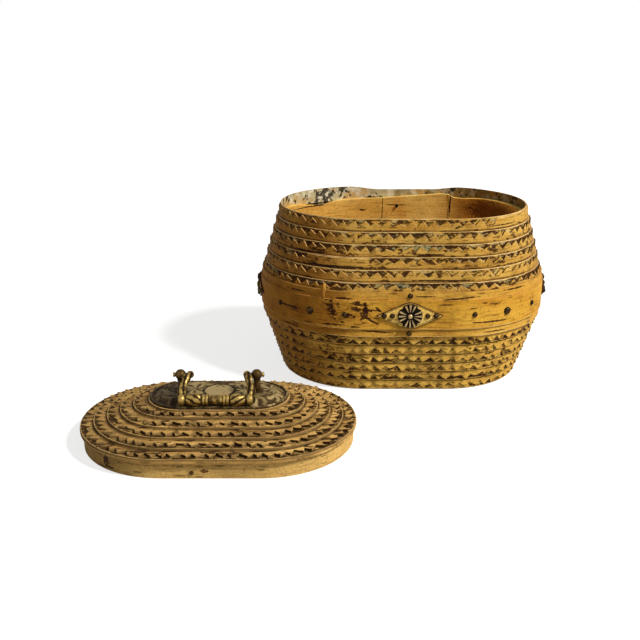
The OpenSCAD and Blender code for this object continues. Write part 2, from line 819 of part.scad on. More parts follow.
bottom_board();
liner_wrap();
liner_back_panel();
liner_nails();
upper_plain_sheet(1);  // upper_plain_sheet_1
upper_plain_sheet(2);  // upper_plain_sheet_2
upper_plain_sheet(3);  // upper_plain_sheet_3
upper_plain_sheet(4);  // upper_plain_sheet_4
upper_plain_sheet(5);  // upper_plain_sheet_5
upper_plain_sheet(6);  // upper_plain_sheet_6
upper_toothed_sheet(1);  // upper_toothed_sheet_1
upper_toothed_sheet(2);  // upper_toothed_sheet_2
upper_toothed_sheet(3);  // upper_toothed_sheet_3
upper_toothed_sheet(4);  // upper_toothed_sheet_4
upper_toothed_sheet(5);  // upper_toothed_sheet_5
upper_toothed_sheet(6);  // upper_toothed_sheet_6
lower_plain_sheet(1);  // lower_plain_sheet_1
lower_plain_sheet(2);  // lower_plain_sheet_2
lower_plain_sheet(3);  // lower_plain_sheet_3
lower_plain_sheet(4);  // lower_plain_sheet_4
lower_plain_sheet(5);  // lower_plain_sheet_5
lower_plain_sheet(6);  // lower_plain_sheet_6
lower_toothed_sheet(1);  // lower_toothed_sheet_1
lower_toothed_sheet(2);  // lower_toothed_sheet_2
lower_toothed_sheet(3);  // lower_toothed_sheet_3
lower_toothed_sheet(4);  // lower_toothed_sheet_4
lower_toothed_sheet(5);  // lower_toothed_sheet_5
lower_toothed_sheet(6);  // lower_toothed_sheet_6
wide_strip();
middle_band();
lozenge_front();
lozenge_back();
lozenge_left();
lozenge_right();
rosettes();
lozenge_tacks();
band_tacks();
large_tacks();
lid_side_band();
lid_band_nail();
lid_board();
lid_plain_sheet(1);  // lid_plain_sheet_1
lid_plain_sheet(2);  // lid_plain_sheet_2
lid_plain_sheet(3);  // lid_plain_sheet_3
lid_plain_sheet(4);  // lid_plain_sheet_4
lid_plain_sheet(5);  // lid_plain_sheet_5
lid_toothed_sheet(1);  // lid_toothed_sheet_1
lid_toothed_sheet(2);  // lid_toothed_sheet_2
lid_toothed_sheet(3);  // lid_toothed_sheet_3
lid_toothed_sheet(4);  // lid_toothed_sheet_4
lid_toothed_sheet(5);  // lid_toothed_sheet_5
lid_top_sheet();
handle_back_plate();
left_post();
right_post();
post_washers();
post_nuts();
bail();
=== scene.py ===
"""Dresses the lidded bark box: notched courses, belt, liner, lid and brass bail handle."""

import sys

import json
import logging
import math
from dataclasses import dataclass, field, replace
from enum import Enum
from types import SimpleNamespace

import bmesh
import bpy
import numpy as np
from mathutils import Euler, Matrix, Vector


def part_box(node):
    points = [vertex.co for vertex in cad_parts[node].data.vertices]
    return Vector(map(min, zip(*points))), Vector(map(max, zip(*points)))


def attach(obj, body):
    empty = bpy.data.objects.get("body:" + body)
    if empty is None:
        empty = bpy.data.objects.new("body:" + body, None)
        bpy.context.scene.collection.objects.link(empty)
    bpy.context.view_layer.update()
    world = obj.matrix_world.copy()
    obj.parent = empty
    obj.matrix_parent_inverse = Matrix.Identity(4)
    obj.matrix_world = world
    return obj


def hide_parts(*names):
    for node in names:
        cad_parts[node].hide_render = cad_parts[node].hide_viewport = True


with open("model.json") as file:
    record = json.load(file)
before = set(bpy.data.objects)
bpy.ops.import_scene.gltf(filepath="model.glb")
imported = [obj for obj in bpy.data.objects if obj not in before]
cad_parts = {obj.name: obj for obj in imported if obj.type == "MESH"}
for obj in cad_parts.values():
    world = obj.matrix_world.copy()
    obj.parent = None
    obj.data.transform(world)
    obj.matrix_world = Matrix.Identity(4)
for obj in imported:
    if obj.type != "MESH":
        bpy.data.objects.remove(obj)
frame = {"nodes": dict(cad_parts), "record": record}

LOG = logging.getLogger("bark_box")
MM = 0.001
STRAIGHT = 76 * MM
Colour = tuple[float, float, float]
Point = tuple[float, float, float]
Faces = list[tuple[int, ...]]
Seat = tuple[Vector, Vector]
Socket = bpy.types.NodeSocket
Value = float | Socket


class Body(Enum):
    """The bodies that move apart."""

    BOX = "box"
    LID = "lid"
    BAIL = "bail"


class Facing(Enum):
    """Which way a course's edge faces."""

    UP = 1
    DOWN = -1


class Side(Enum):
    """The four middles of the belt, by the angle at which each one faces outward."""

    RIGHT = 0
    BACK = 90
    LEFT = 180
    FRONT = 270


class Plug(Enum):
    """The kinds of socket on a node group."""

    FLOAT = "NodeSocketFloat"
    INT = "NodeSocketInt"
    BOOL = "NodeSocketBool"
    VECTOR = "NodeSocketVector"
    GEOMETRY = "NodeSocketGeometry"
    OBJECT = "NodeSocketObject"
    MATERIAL = "NodeSocketMaterial"


# Node helpers


class NodePad:
    """Places nodes in one tree and links them, with a plain number allowed wherever a socket is."""

    def __init__(self, tree: bpy.types.NodeTree) -> None:
        """Keeps the shader or geometry tree that the nodes go into."""
        self.tree = tree

    def put(self, kind: str, feeds: dict[int | str, object] | None = None,
            **settings: object) -> bpy.types.Node:
        """Adds one node.

        Args:
            kind: The node's type name.
            feeds: A value or a socket for each input, by name or index.
            settings: Properties to set on the node first.

        Returns:
            The new node.
        """
        node = self.tree.nodes.new(kind)
        for name, setting in settings.items():
            setattr(node, name, setting)
        for key, value in (feeds or {}).items():
            self.feed(node.inputs[key], value)
        return node

    def feed(self, socket: Socket, value: object) -> None:
        """Links a socket to an input, or sets the input's own value.

        Args:
            socket: The input to feed.
            value: A socket, a number, a colour, a vector or None to leave it alone.
        """
        if isinstance(value, bpy.types.NodeSocket):
            self.tree.links.new(value, socket)
        elif value is not None:
            if socket.type == "RGBA" and len(value) == 3:
                value = (*value, 1.0)
            socket.default_value = value

    def math(self, operation: str, a: Value, b: Value | None = None, c: Value | None = None) -> Socket:
        """Result of a Math node on up to three values."""
        return self.put("ShaderNodeMath", {0: a, 1: b, 2: c}, operation=operation).outputs[0]

    def add(self, *values: Value) -> Socket:
        """Sum of two or more values."""
        total = values[0]
        for value in values[1:]:
            total = self.math("ADD", total, value)
        return total

    def times(self, *values: Value) -> Socket:
        """Product of two or more values."""
        product = values[0]
        for value in values[1:]:
            product = self.math("MULTIPLY", product, value)
        return product

    def less(self, a: Value, b: Value) -> Socket:
        """The first value less the second."""
        return self.math("SUBTRACT", a, b)

    def over(self, a: Value, b: Value) -> Socket:
        """The first value divided by the second."""
        return self.math("DIVIDE", a, b)

    def spread(self, value: Value, low: Value, high: Value, to_low: Value = 0.0, to_high: Value = 1.0,
               smooth: bool = False) -> Socket:
        """Maps a value from one range to another, held at the ends.

        Args:
            value: What is mapped.
            low: Start of its range.
            high: End of its range.
            to_low: Result at the start.
            to_high: Result at the end.
            smooth: Whether the ends are eased.

        Returns:
            The mapped value.
        """
        feeds = {"Value": value, "From Min": low, "From Max": high, "To Min": to_low, "To Max": to_high}
        kind = "SMOOTHSTEP" if smooth else "LINEAR"
        return self.put("ShaderNodeMapRange", feeds, interpolation_type=kind, clamp=True).outputs[0]

    def split(self, vector: Socket) -> tuple[Socket, Socket, Socket]:
        """The three parts of a vector."""
        return tuple(self.put("ShaderNodeSeparateXYZ", {0: vector}).outputs)

    def join(self, x: Value, y: Value, z: Value) -> Socket:
        """A vector from its three parts."""
        return self.put("ShaderNodeCombineXYZ", {0: x, 1: y, 2: z}).outputs[0]

    def scaled(self, vector: Socket, factors: Point) -> Socket:
        """A vector with each part multiplied by its own factor."""
        return self.put("ShaderNodeVectorMath", {0: vector, 1: factors}, operation="MULTIPLY").outputs[0]

    def noise(self, vector: Socket, scale: Value = 1.0, detail: float = 2.0,
              roughness: float = 0.5) -> Socket:
        """Value of a Noise Texture at a place, about 0 to 1."""
        feeds = {"Vector": vector, "Scale": scale, "Detail": detail, "Roughness": roughness}
        return self.put("ShaderNodeTexNoise", feeds).outputs[0]

    def blend(self, factor: Value, a: object, b: object) -> Socket:
        """The first colour with as much of the second mixed in as the factor says."""
        feeds = {0: factor, 6: a, 7: b}
        return self.put("ShaderNodeMix", feeds, data_type="RGBA", clamp_factor=True).outputs[2]

    def seen(self) -> Socket:
        """One for the camera, a reflection or glass, and nought for the light on the object."""
        path = self.put("ShaderNodeLightPath").outputs
        mirrored = self.math("MAXIMUM", path["Is Glossy Ray"], path["Is Transmission Ray"])
        return self.math("MAXIMUM", path["Is Camera Ray"], mirrored)


def open_group(name: str, inputs: dict[str, object], outputs: tuple[str, ...],
               given: Plug = Plug.FLOAT) -> tuple[NodePad, dict[str, Socket], bpy.types.Node]:
    """Starts a node group with named sockets.

    Args:
        name: The group's name.
        inputs: A default number or a Plug for each input.
        outputs: Names of the outputs.
        given: Their kind, which tells a geometry tree from a shader group.

    Returns:
        The pad, the group's input sockets by name, and the output node.
    """
    kind = "GeometryNodeTree" if given is Plug.GEOMETRY else "ShaderNodeTree"
    tree = bpy.data.node_groups.new(name, kind)
    for label, default in inputs.items():
        plain = not isinstance(default, Plug)
        plug = Plug[type(default).__name__.upper()] if plain else default
        made = tree.interface.new_socket(name=label, in_out="INPUT", socket_type=plug.value)
        if plain:
            made.default_value = default
    for label in outputs:
        tree.interface.new_socket(name=label, in_out="OUTPUT", socket_type=given.value)
    pad = NodePad(tree)
    source = tree.nodes.new("NodeGroupInput")
    sink = tree.nodes.new("NodeGroupOutput")
    return pad, {label: source.outputs[label] for label in inputs}, sink


# Mesh helpers


def close_and_shade(mesh: bpy.types.Mesh, sharp_degrees: float) -> None:
    """Merges doubles, turns the faces outward and marks the sharp edges.

    Args:
        mesh: The mesh to finish.
        sharp_degrees: Edges that bend more than this stay sharp.
    """
    solid = bmesh.new()
    solid.from_mesh(mesh)
    bmesh.ops.remove_doubles(solid, verts=solid.verts, dist=2e-6)
    bmesh.ops.dissolve_degenerate(solid, edges=solid.edges, dist=1e-7)
    bmesh.ops.recalc_face_normals(solid, faces=solid.faces)
    limit = math.radians(sharp_degrees)
    for edge in solid.edges:
        edge.smooth = edge.calc_face_angle(math.pi) < limit
    for face in solid.faces:
        face.smooth = True
    solid.to_mesh(mesh)
    solid.free()


def mesh_object(name: str, points: np.ndarray, faces: Faces, material: bpy.types.Material,
                sharp_degrees: float = 40.0, uv: np.ndarray | None = None,
                marks: dict[str, np.ndarray] | None = None) -> bpy.types.Object:
    """Makes a mesh object from points and faces.

    Args:
        name: The object's name.
        points: One row of x, y, z for each point, in metres.
        faces: Point numbers of each face.
        material: Its finish.
        sharp_degrees: Edges that bend more than this stay sharp.
        uv: One row of u, v for each point.
        marks: One value for each point, by attribute name.

    Returns:
        The linked object.
    """
    mesh = bpy.data.meshes.new(name)
    mesh.from_pydata([tuple(map(float, point)) for point in points], [], faces)
    for label, values in (marks or {}).items():
        layer = mesh.attributes.new(label, "FLOAT", "POINT")
        layer.data.foreach_set("value", np.asarray(values, np.float32))
    if uv is not None:
        layer = mesh.uv_layers.new(name="bark_uv")
        corners = np.zeros(len(mesh.loops), np.int32)
        mesh.loops.foreach_get("vertex_index", corners)
        layer.data.foreach_set("uv", np.asarray(uv, np.float32)[corners].ravel())
    mesh.materials.append(material)
    close_and_shade(mesh, sharp_degrees)
    made = bpy.data.objects.new(name, mesh)
    bpy.context.scene.collection.objects.link(made)
    return made


def grown_object(name: str, tree: bpy.types.NodeTree, values: dict[str, object], sharp_degrees: float,
                 base: bpy.types.Mesh | None = None) -> bpy.types.Object:
    """Runs a geometry tree and keeps its result as a plain mesh.

    Args:
        name: The object's name.
        tree: The geometry tree.
        values: A value for each named input of the tree.
        sharp_degrees: Edges that bend more than this stay sharp.
        base: The mesh that the tree starts from, if it uses one.

    Returns:
        The object, with its modifier removed.
    """
    made = bpy.data.objects.new(name, base or bpy.data.meshes.new(name))
    bpy.context.scene.collection.objects.link(made)
    modifier = made.modifiers.new("grow", "NODES")
    modifier.node_group = tree
    sockets = {item.name: item.identifier for item in tree.interface.items_tree if item.in_out == "INPUT"}
    for label, value in values.items():
        modifier[sockets[label]] = value
    depsgraph = bpy.context.evaluated_depsgraph_get()
    depsgraph.update()
    mesh = bpy.data.meshes.new_from_object(made.evaluated_get(depsgraph), depsgraph=depsgraph)
    made.modifiers.clear()
    made.data = mesh
    mesh.name = name
    close_and_shade(mesh, sharp_degrees)
    return made


def settle(piece: bpy.types.Object, body: Body, slot: str, *nodes: str) -> None:
    """Hands a finished piece to the frame and reports it.

    Args:
        piece: The finished piece.
        body: The body that it moves with.
        slot: Not used.
        nodes: The solids that it stands for.
    """
    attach(piece, body.value)
    if nodes:
        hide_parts(*nodes)
    LOG.info("%s: %d faces on %s", piece.name, len(piece.data.polygons), body.value)


@dataclass(frozen=True)
class Oval:
    """The plan of every layer: a straight front and back joined by half circles.

    A place along it is a share of the way round, from the middle of the back over the left end,
    the front and the right end.
    """

    straight: float = STRAIGHT

    def length(self, radius: float) -> float:
        """Distance round the oval with that end radius."""
        return 2 * self.straight + 2 * math.pi * radius

    def spine(self, share: np.ndarray, radius: float) -> tuple[np.ndarray, np.ndarray]:
        """Finds the foot on the middle line and the outward angle of places on the oval.

        Args:
            share: Shares of the way round.
            radius: End radius by which the way is measured.

        Returns:
            The feet's x and the outward angles in radians.
        """
        total = self.length(radius)
        half = self.straight / 2 / total
        bend = math.pi * radius / total
        x = self.straight * (
            -np.clip(share / half, 0, 1) / 2
            + np.clip((share - half - bend) / (2 * half), 0, 1)
            - np.clip((share - 3 * half - 2 * bend) / half, 0, 1) / 2
        )
        turn = math.pi * (
            0.5 + np.clip((share - half) / bend, 0, 1) + np.clip((share - 3 * half - bend) / bend, 0, 1)
        )
        return x, turn

    def place(self, share: np.ndarray, radius: np.ndarray | float,
              measured: float) -> tuple[np.ndarray, np.ndarray]:
        """The x and y of shares of the way round, at a radius, with the way measured at another."""
        x, turn = self.spine(share, measured)
        return x + radius * np.cos(turn), radius * np.sin(turn)


def light_of(red: int, green: int, blue: int) -> Colour:
    """Linear light of a colour on the usual 0 to 255 scale."""
    levels = np.array([red, green, blue]) / 255
    return tuple(np.where(levels > 10 / 255, ((levels + 0.055) / 1.055) ** 2.4, levels / 12.92).tolist())


def half_depth(node: str) -> float:
    """Half of a solid's depth from front to back, which is its end radius where it is widest."""
    low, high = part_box(node)
    return (high.y - low.y) / 2


def ring_faces(rows: int, columns: int, wrap_rows: bool = False) -> Faces:
    """Faces of a grid of points whose columns close in a ring.

    Args:
        rows: Number of rows of points.
        columns: Number of points in each row.
        wrap_rows: Whether the last row joins the first.

    Returns:
        The point numbers of each face.
    """
    faces = []
    for row in range(rows if wrap_rows else rows - 1):
        low, high = row * columns, (row + 1) % rows * columns
        for column in range(columns):
            after = (column + 1) % columns
            faces.append((low + column, low + after, high + after, high + column))
    return faces


def turned(outline: list[tuple[float, float]], segments: int) -> tuple[np.ndarray, Faces]:
    """Turns an outline round the Z axis.

    Args:
        outline: Radius and height of each point, from axis to axis.
        segments: Number of steps round the axis.

    Returns:
        The points and the faces.
    """
    radius, height = np.array(outline, float).T
    turn = np.arange(segments) * 2 * math.pi / segments
    level = np.repeat(height[:, None], segments, 1)
    points = np.stack([np.outer(radius, np.cos(turn)), np.outer(radius, np.sin(turn)), level], -1)
    return points.reshape(-1, 3), ring_faces(len(outline), segments)


# Effects that several finishes share


class Effects:
    """The shader node groups, each built once and placed in every finish that needs it."""

    def __init__(self) -> None:
        """Builds all the groups."""
        self.grain = self.build_grain()
        self.lenticels = self.build_lenticels()
        self.mark = self.build_mark()
        self.mottle = self.build_mottle()
        self.rubbed = self.build_rubbed()

    def build_grain(self) -> bpy.types.NodeTree:
        """Bark fibres that run along the sheet.

        Returns:
            A group that gives a slow tone, a fibre streak and a relief, each about 0 to 1.
        """
        inputs = {"Vector": Plug.VECTOR, "Seed": 0.0}
        pad, take, sink = open_group("bark_grain", inputs, ("Tone", "Streak", "Relief"))
        x, y, _ = pad.split(take["Vector"])
        place = pad.join(x, y, pad.times(take["Seed"], 0.37))
        slow = pad.noise(pad.scaled(place, (11, 60, 1)), detail=3)
        streak = pad.noise(pad.scaled(place, (38, 620, 1)), detail=3, roughness=0.6)
        fine = pad.noise(pad.scaled(place, (170, 2400, 1)), detail=2)
        tone = pad.add(0.5, pad.times(pad.less(slow, 0.5), 2.2), pad.times(pad.less(streak, 0.5), 0.9))
        pad.feed(sink.inputs["Tone"], pad.spread(tone, 0, 1))
        pad.feed(sink.inputs["Streak"], pad.spread(streak, 0.3, 0.7))
        pad.feed(sink.inputs["Relief"], pad.add(pad.times(streak, 0.6), pad.times(fine, 0.4)))
        return pad.tree

    def build_lenticels(self) -> bpy.types.NodeTree:
        """The short dark dashes of birch bark, which lie along the sheet.

        Returns:
            A group that gives their mask.
        """
        inputs = {"Vector": Plug.VECTOR, "Length": 16 * MM, "Height": 3 * MM, "Share": 0.3, "Seed": 0.0}
        pad, take, sink = open_group("lenticels", inputs, ("Mask",))
        x, y, _ = pad.split(take["Vector"])
        warp = pad.noise(pad.join(pad.times(x, 70), pad.times(y, 160), take["Seed"]), detail=2)
        across = pad.over(pad.add(y, pad.times(pad.less(warp, 0.5), 0.0016)), take["Height"])
        place = pad.join(pad.over(x, take["Length"]), across, 0)
        start = pad.join(take["Seed"], pad.times(take["Seed"], 1.7), 0)
        place = pad.put("ShaderNodeVectorMath", {0: place, 1: start}, operation="ADD").outputs[0]
        cells = pad.put("ShaderNodeTexVoronoi", {"Vector": place, "Scale": 1.0, "Randomness": 0.9},
                        voronoi_dimensions="2D", feature="F1")
        chance, size, _ = pad.split(cells.outputs["Color"])
        chosen = pad.math("GREATER_THAN", take["Share"], chance)
        reach = pad.spread(size, 0, 1, 0.16, 0.4)
        dash = pad.spread(cells.outputs["Distance"], reach, pad.times(reach, 0.55), smooth=True)
        pad.feed(sink.inputs["Mask"], pad.times(dash, chosen))
        return pad.tree

    def build_mark(self) -> bpy.types.NodeTree:
        """One ragged mark at a given place on a sheet.

        Returns:
            A group that gives its mask.
        """
        inputs = {"Vector": Plug.VECTOR, "Along": 0.0, "Up": 0.0, "Half Length": 10 * MM, "Half Height": MM,
                  "Rise": 0.0, "Ragged": 0.6, "Soft": 0.15}
        pad, take, sink = open_group("single_mark", inputs, ("Mask",))
        x, y, _ = pad.split(take["Vector"])
        along = pad.less(x, take["Along"])
        up = pad.less(pad.less(y, take["Up"]), pad.times(along, take["Rise"]))
        far = pad.math("POWER", pad.over(along, take["Half Length"]), 2.0)
        high = pad.math("POWER", pad.over(up, take["Half Height"]), 2.0)
        torn = pad.noise(pad.scaled(take["Vector"], (1, 1.5, 1)), 260.0, detail=3, roughness=0.6)
        size = pad.add(far, high, pad.times(pad.less(torn, 0.5), take["Ragged"], 8.0))
        mask = pad.spread(size, pad.add(1.0, take["Soft"]), pad.less(1.0, take["Soft"]))
        pad.feed(sink.inputs["Mask"], mask)
        return pad.tree

    def build_mottle(self) -> bpy.types.NodeTree:
        """Blotches without a direction, for dirt, stains and bare patches.

        Returns:
            A group that gives their mask.
        """
        inputs = {"Vector": Plug.VECTOR, "Scale": 60.0, "Level": 0.55, "Blur": 0.1}
        pad, take, sink = open_group("mottle", inputs, ("Mask",))
        cloud = pad.noise(take["Vector"], take["Scale"], detail=4, roughness=0.6)
        low, high = pad.less(take["Level"], take["Blur"]), pad.add(take["Level"], take["Blur"])
        pad.feed(sink.inputs["Mask"], pad.spread(cloud, low, high, smooth=True))
        return pad.tree

    def build_rubbed(self) -> bpy.types.NodeTree:
        """Old metal that is rubbed bright on what stands proud and dark in the hollows.

        Returns:
            A group that gives the rubbed share and fine scratches.
        """
        inputs = {"Vector": Plug.VECTOR, "Height": 0.5, "Patchiness": 0.5}
        pad, take, sink = open_group("rubbed_metal", inputs, ("Rubbed", "Scratch"))
        cloud = pad.noise(take["Vector"], 190.0, detail=4, roughness=0.65)
        fine = pad.noise(take["Vector"], 1300.0, detail=3, roughness=0.7)
        level = pad.add(take["Height"], pad.times(pad.less(cloud, 0.5), take["Patchiness"], 3.0),
                        pad.times(pad.less(fine, 0.5), 0.5))
        pad.feed(sink.inputs["Rubbed"], pad.spread(level, 0.2, 0.85, smooth=True))
        pad.feed(sink.inputs["Scratch"], fine)
        return pad.tree


class FinishPad(NodePad):
    """The nodes of one finish, with the shared effects at hand."""

    def __init__(self, name: str, effects: Effects) -> None:
        """Starts a new material.

        Args:
            name: The material's name.
            effects: The shared shader groups.
        """
        self.material = bpy.data.materials.new(name)
        self.material.use_nodes = True
        super().__init__(self.material.node_tree)
        self.effects = effects
        self.shader = self.tree.nodes["Principled BSDF"]
        self.body = self.put("ShaderNodeTexCoord").outputs["Object"]

    def reading(self, label: str) -> Socket:
        """Value of a named attribute of the piece."""
        return self.put("ShaderNodeAttribute", attribute_name=label).outputs["Fac"]

    def effect(self, group: bpy.types.NodeTree, feeds: dict[str, object]) -> bpy.types.NodeOutputs:
        """Outputs of a shared group that is placed with those inputs."""
        return self.put("ShaderNodeGroup", feeds, node_tree=group).outputs

    def blotches(self, vector: Socket, scale: float, level: Value, blur: float) -> Socket:
        """Mask of the blotches where a cloud of that scale passes the level."""
        feeds = {"Vector": vector, "Scale": scale, "Level": level, "Blur": blur}
        return self.effect(self.effects.mottle, feeds)[0]

    def finish(self, colour: Socket, roughness: Socket, height: Socket, distance: float,
               strength: float, specular: float) -> bpy.types.Material:
        """Feeds the shader.

        Args:
            colour: Colour of the surface.
            roughness: Its roughness.
            height: Its fine relief.
            distance: How deep the relief is, in metres.
            strength: How strongly the relief shows.
            specular: Specular level of the whole surface.

        Returns:
            The finished material.
        """
        bump = self.put("ShaderNodeBump", {"Height": height, "Distance": distance, "Strength": strength})
        self.feed(self.shader.inputs["Base Color"], colour)
        self.feed(self.shader.inputs["Roughness"], roughness)
        self.feed(self.shader.inputs["Normal"], bump.outputs[0])
        self.shader.inputs["Specular IOR Level"].default_value = specular
        return self.material


class Grain(Enum):
    """What a bark finish's fibres follow."""

    ALONG_SHEET = "the sheet's own coordinates"
    ACROSS_PLATE = "a level plate, from left to right"
    ROUND_WALL = "an upright wall, level round it"


@dataclass(frozen=True)
class Mark:
    """One mark on a bark sheet: its middle, its reach, its strength and the one row that has it."""

    along: float
    up: float
    half_length: float
    half_height: float
    rise: float = 0.0
    strength: float = 0.92
    colour: Colour = light_of(44, 18, 9)
    row: int | None = None
    soft: float = 0.15
    ragged: float = 0.5


@dataclass(frozen=True)
class BarkFinish:
    """The look of one kind of bark sheet."""

    name: str
    pale: Colour
    deep: Colour
    dark: Colour
    edge: Colour
    stain: Colour = light_of(66, 27, 5)
    soot: Colour = light_of(24, 12, 3)
    honey: Colour = light_of(186, 122, 42)
    cut: Colour = light_of(168, 122, 62)
    outer_bark: Colour = light_of(176, 166, 118)
    side_colour: Colour = light_of(156, 96, 28)
    side_from: float = -0.01
    side_to: float = -0.105
    side_strength: float = 0.0
    roughness: float = 0.62
    edge_width: float = 0.7 * MM
    edge_strength: float = 0.8
    dark_from: float | None = None
    grime_from: float | None = None
    grime_to: float = 0.0
    grime: float = 0.9
    lenticel_share: float = 0.22
    lenticel_strength: float = 0.6
    stain_level: float = 0.72
    stain_by_row: float = 0.16
    mottling: float = 0.35
    honey_strength: float = 0.3
    patch_squeeze: float = 2.2
    relief: float = 0.22 * MM
    grain: Grain = Grain.ALONG_SHEET
    inside_pale: Colour | None = None
    inside_deep: Colour | None = None
    marks: tuple[Mark, ...] = ()

    def build(self, effects: Effects) -> bpy.types.Material:
        """Makes the material.

        Args:
            effects: The shared shader groups.

        Returns:
            The finished material.
        """
        pad = FinishPad(self.name, effects)
        sheet = pad.put("ShaderNodeUVMap", uv_map="bark_uv").outputs["UV"]
        seed = pad.reading("row_seed")
        shade = pad.reading("row_shade")
        place = self.fibres(pad, sheet)
        across, down, _ = pad.split(place)
        drop = pad.split(sheet)[1]
        row_place = pad.join(across, pad.times(down, self.patch_squeeze), pad.times(seed, 0.37))
        grain = pad.effect(effects.grain, {"Vector": place, "Seed": seed})
        colour = self.ground(pad, grain, row_place)

        level = pad.less(self.stain_level, pad.times(shade, self.stain_by_row))
        torn = pad.blotches(row_place, 105.0, level, 0.014)
        share = {"Vector": place, "Share": self.lenticel_share, "Seed": seed}
        dashes = pad.effect(effects.lenticels, share)[0]
        pits = pad.math("MAXIMUM", pad.times(dashes, self.lenticel_strength), pad.times(torn, 0.88))
        tint = pad.blend(pad.spread(pad.noise(row_place, 240.0, 2), 0.4, 0.6), self.soot, self.stain)
        colour = pad.blend(pits, colour, tint)
        # Bark stains and painted shade where the plain sheet shows between the teeth.
        if self.dark_from is not None:
            colour = self.shaded_behind(pad, row_place, drop, colour, tint)
        # Painted shade, with some dirt, in the crevice just above the next course's edge.
        if self.grime_from is not None:
            line = pad.add(drop, pad.times(pad.less(pad.noise(row_place, 90.0, 3), 0.5), 1.6 * MM))
            grimed_and_shaded = pad.spread(line, self.grime_from, self.grime_to, smooth=True)
            amount = pad.spread(pad.noise(row_place, 24.0, 3, 0.6), 0.38, 0.6, 0.45, self.grime)
            colour = pad.blend(pad.times(grimed_and_shaded, amount), colour, self.dark)
        for mark in self.marks:
            mask = self.marked(pad, mark, place, seed)
            colour = pad.blend(mask, colour, mark.colour)
            pits = pad.add(pits, mask)
        if self.edge_strength:
            colour = self.worn_edge(pad, colour)
        if self.inside_pale is not None:
            colour = self.inside(pad, colour)
        roughness = pad.add(self.roughness, pad.times(grain["Streak"], 0.16))
        height = pad.less(grain["Relief"], pad.times(pits, 0.7))
        return pad.finish(self.last_touch(pad, colour), roughness, height, self.relief, 0.8, 0.07)

    def ground(self, pad: FinishPad, grain: bpy.types.NodeOutputs, row_place: Socket) -> Socket:
        """Colours the clean bark, before its dashes, tears and dirt.

        Args:
            pad: The finish's nodes.
            grain: Tone and streaks of the fibres.
            row_place: Coordinates that differ from row to row.

        Returns:
            The colour.
        """
        colour = pad.blend(grain["Tone"], self.deep, self.pale)
        honeyed = pad.spread(pad.noise(row_place, 26.0, 4, 0.6), 0.44, 0.64, smooth=True)
        colour = pad.blend(pad.times(honeyed, self.honey_strength), colour, self.honey)
        speckle = pad.spread(pad.noise(pad.body, 480.0, 3, 0.7), 0.5, 0.32)
        colour = pad.blend(pad.times(speckle, 0.4), colour, self.dark)
        # Painted shade and stain: the bark darkens towards its left end, which the key light leaves in
        # shade.
        if self.side_strength:
            cloud = pad.times(pad.less(pad.noise(pad.body, 14.0, 3), 0.5), 0.16)
            way = pad.add(pad.split(pad.body)[0], cloud)
            side = pad.spread(way, self.side_from, self.side_to, smooth=True)
            colour = pad.blend(pad.times(side, self.side_strength), colour, self.side_colour)
        colour = pad.blend(pad.times(pad.reading("tooth_tone"), 0.3), colour, self.deep)
        blotch = pad.blotches(pad.body, 62.0, 0.57, 0.07)
        colour = pad.blend(pad.times(blotch, self.mottling), colour, self.stain)
        return pad.blend(pad.times(pad.spread(grain["Streak"], 0.42, 0.0), 0.45), colour, self.dark)

    def fibres(self, pad: FinishPad, sheet: Socket) -> Socket:
        """Coordinates whose first part runs along the bark's fibres.

        Args:
            pad: The finish's nodes.
            sheet: The sheet's own coordinates.

        Returns:
            The coordinates.
        """
        if self.grain is Grain.ALONG_SHEET:
            return sheet
        x, y, z = pad.split(pad.body)
        if self.grain is Grain.ACROSS_PLATE:
            return pad.join(x, y, pad.times(z, 20.0))
        return pad.join(x, z, pad.times(y, 6.0))

    def marked(self, pad: FinishPad, mark: Mark, place: Socket, seed: Socket) -> Socket:
        """Mask of one mark, held to its own row.

        Args:
            pad: The finish's nodes.
            mark: The mark.
            place: Coordinates along the fibres.
            seed: Number of the row.

        Returns:
            The mask at its strength.
        """
        mask = pad.effect(pad.effects.mark, {
            "Vector": place, "Along": mark.along, "Up": mark.up, "Half Length": mark.half_length,
            "Half Height": mark.half_height, "Rise": mark.rise, "Soft": mark.soft, "Ragged": mark.ragged,
        })[0]
        if mark.row is not None:
            mask = pad.times(mask, pad.math("COMPARE", seed, float(mark.row), 0.3))
        return pad.times(mask, mark.strength)

    def worn_edge(self, pad: FinishPad, colour: Socket) -> Socket:
        """Paints the sheet pale along its edge, as wear and as a painted highlight, and paints shade along
        one flank of each tooth.

        Args:
            pad: The finish's nodes.
            colour: Colour so far.

        Returns:
            The new colour.
        """
        # Wear and painted highlight: pale along the edge. Painted shade: dark along the flank away from the
        # light and on its cut wall.
        flank = pad.reading("grimy_flank")
        cloud = pad.add(pad.spread(pad.noise(pad.body, 21.0, 2), 0.38, 0.56, 0.35, 1), pad.times(flank, 0.9))
        uneven = pad.times(pad.spread(pad.noise(pad.body, 150.0, 3), 0.36, 0.6, 0.3, 1.3), cloud)
        near = pad.spread(pad.reading("from_edge"), pad.times(uneven, self.edge_width), 0.0)
        rubbed = pad.blend(flank, self.edge, self.dark)
        colour = pad.blend(pad.times(near, self.edge_strength), colour, rubbed)
        return pad.blend(pad.times(pad.reading("cut_edge"), 0.8), colour,
                         pad.blend(flank, self.cut, self.dark))

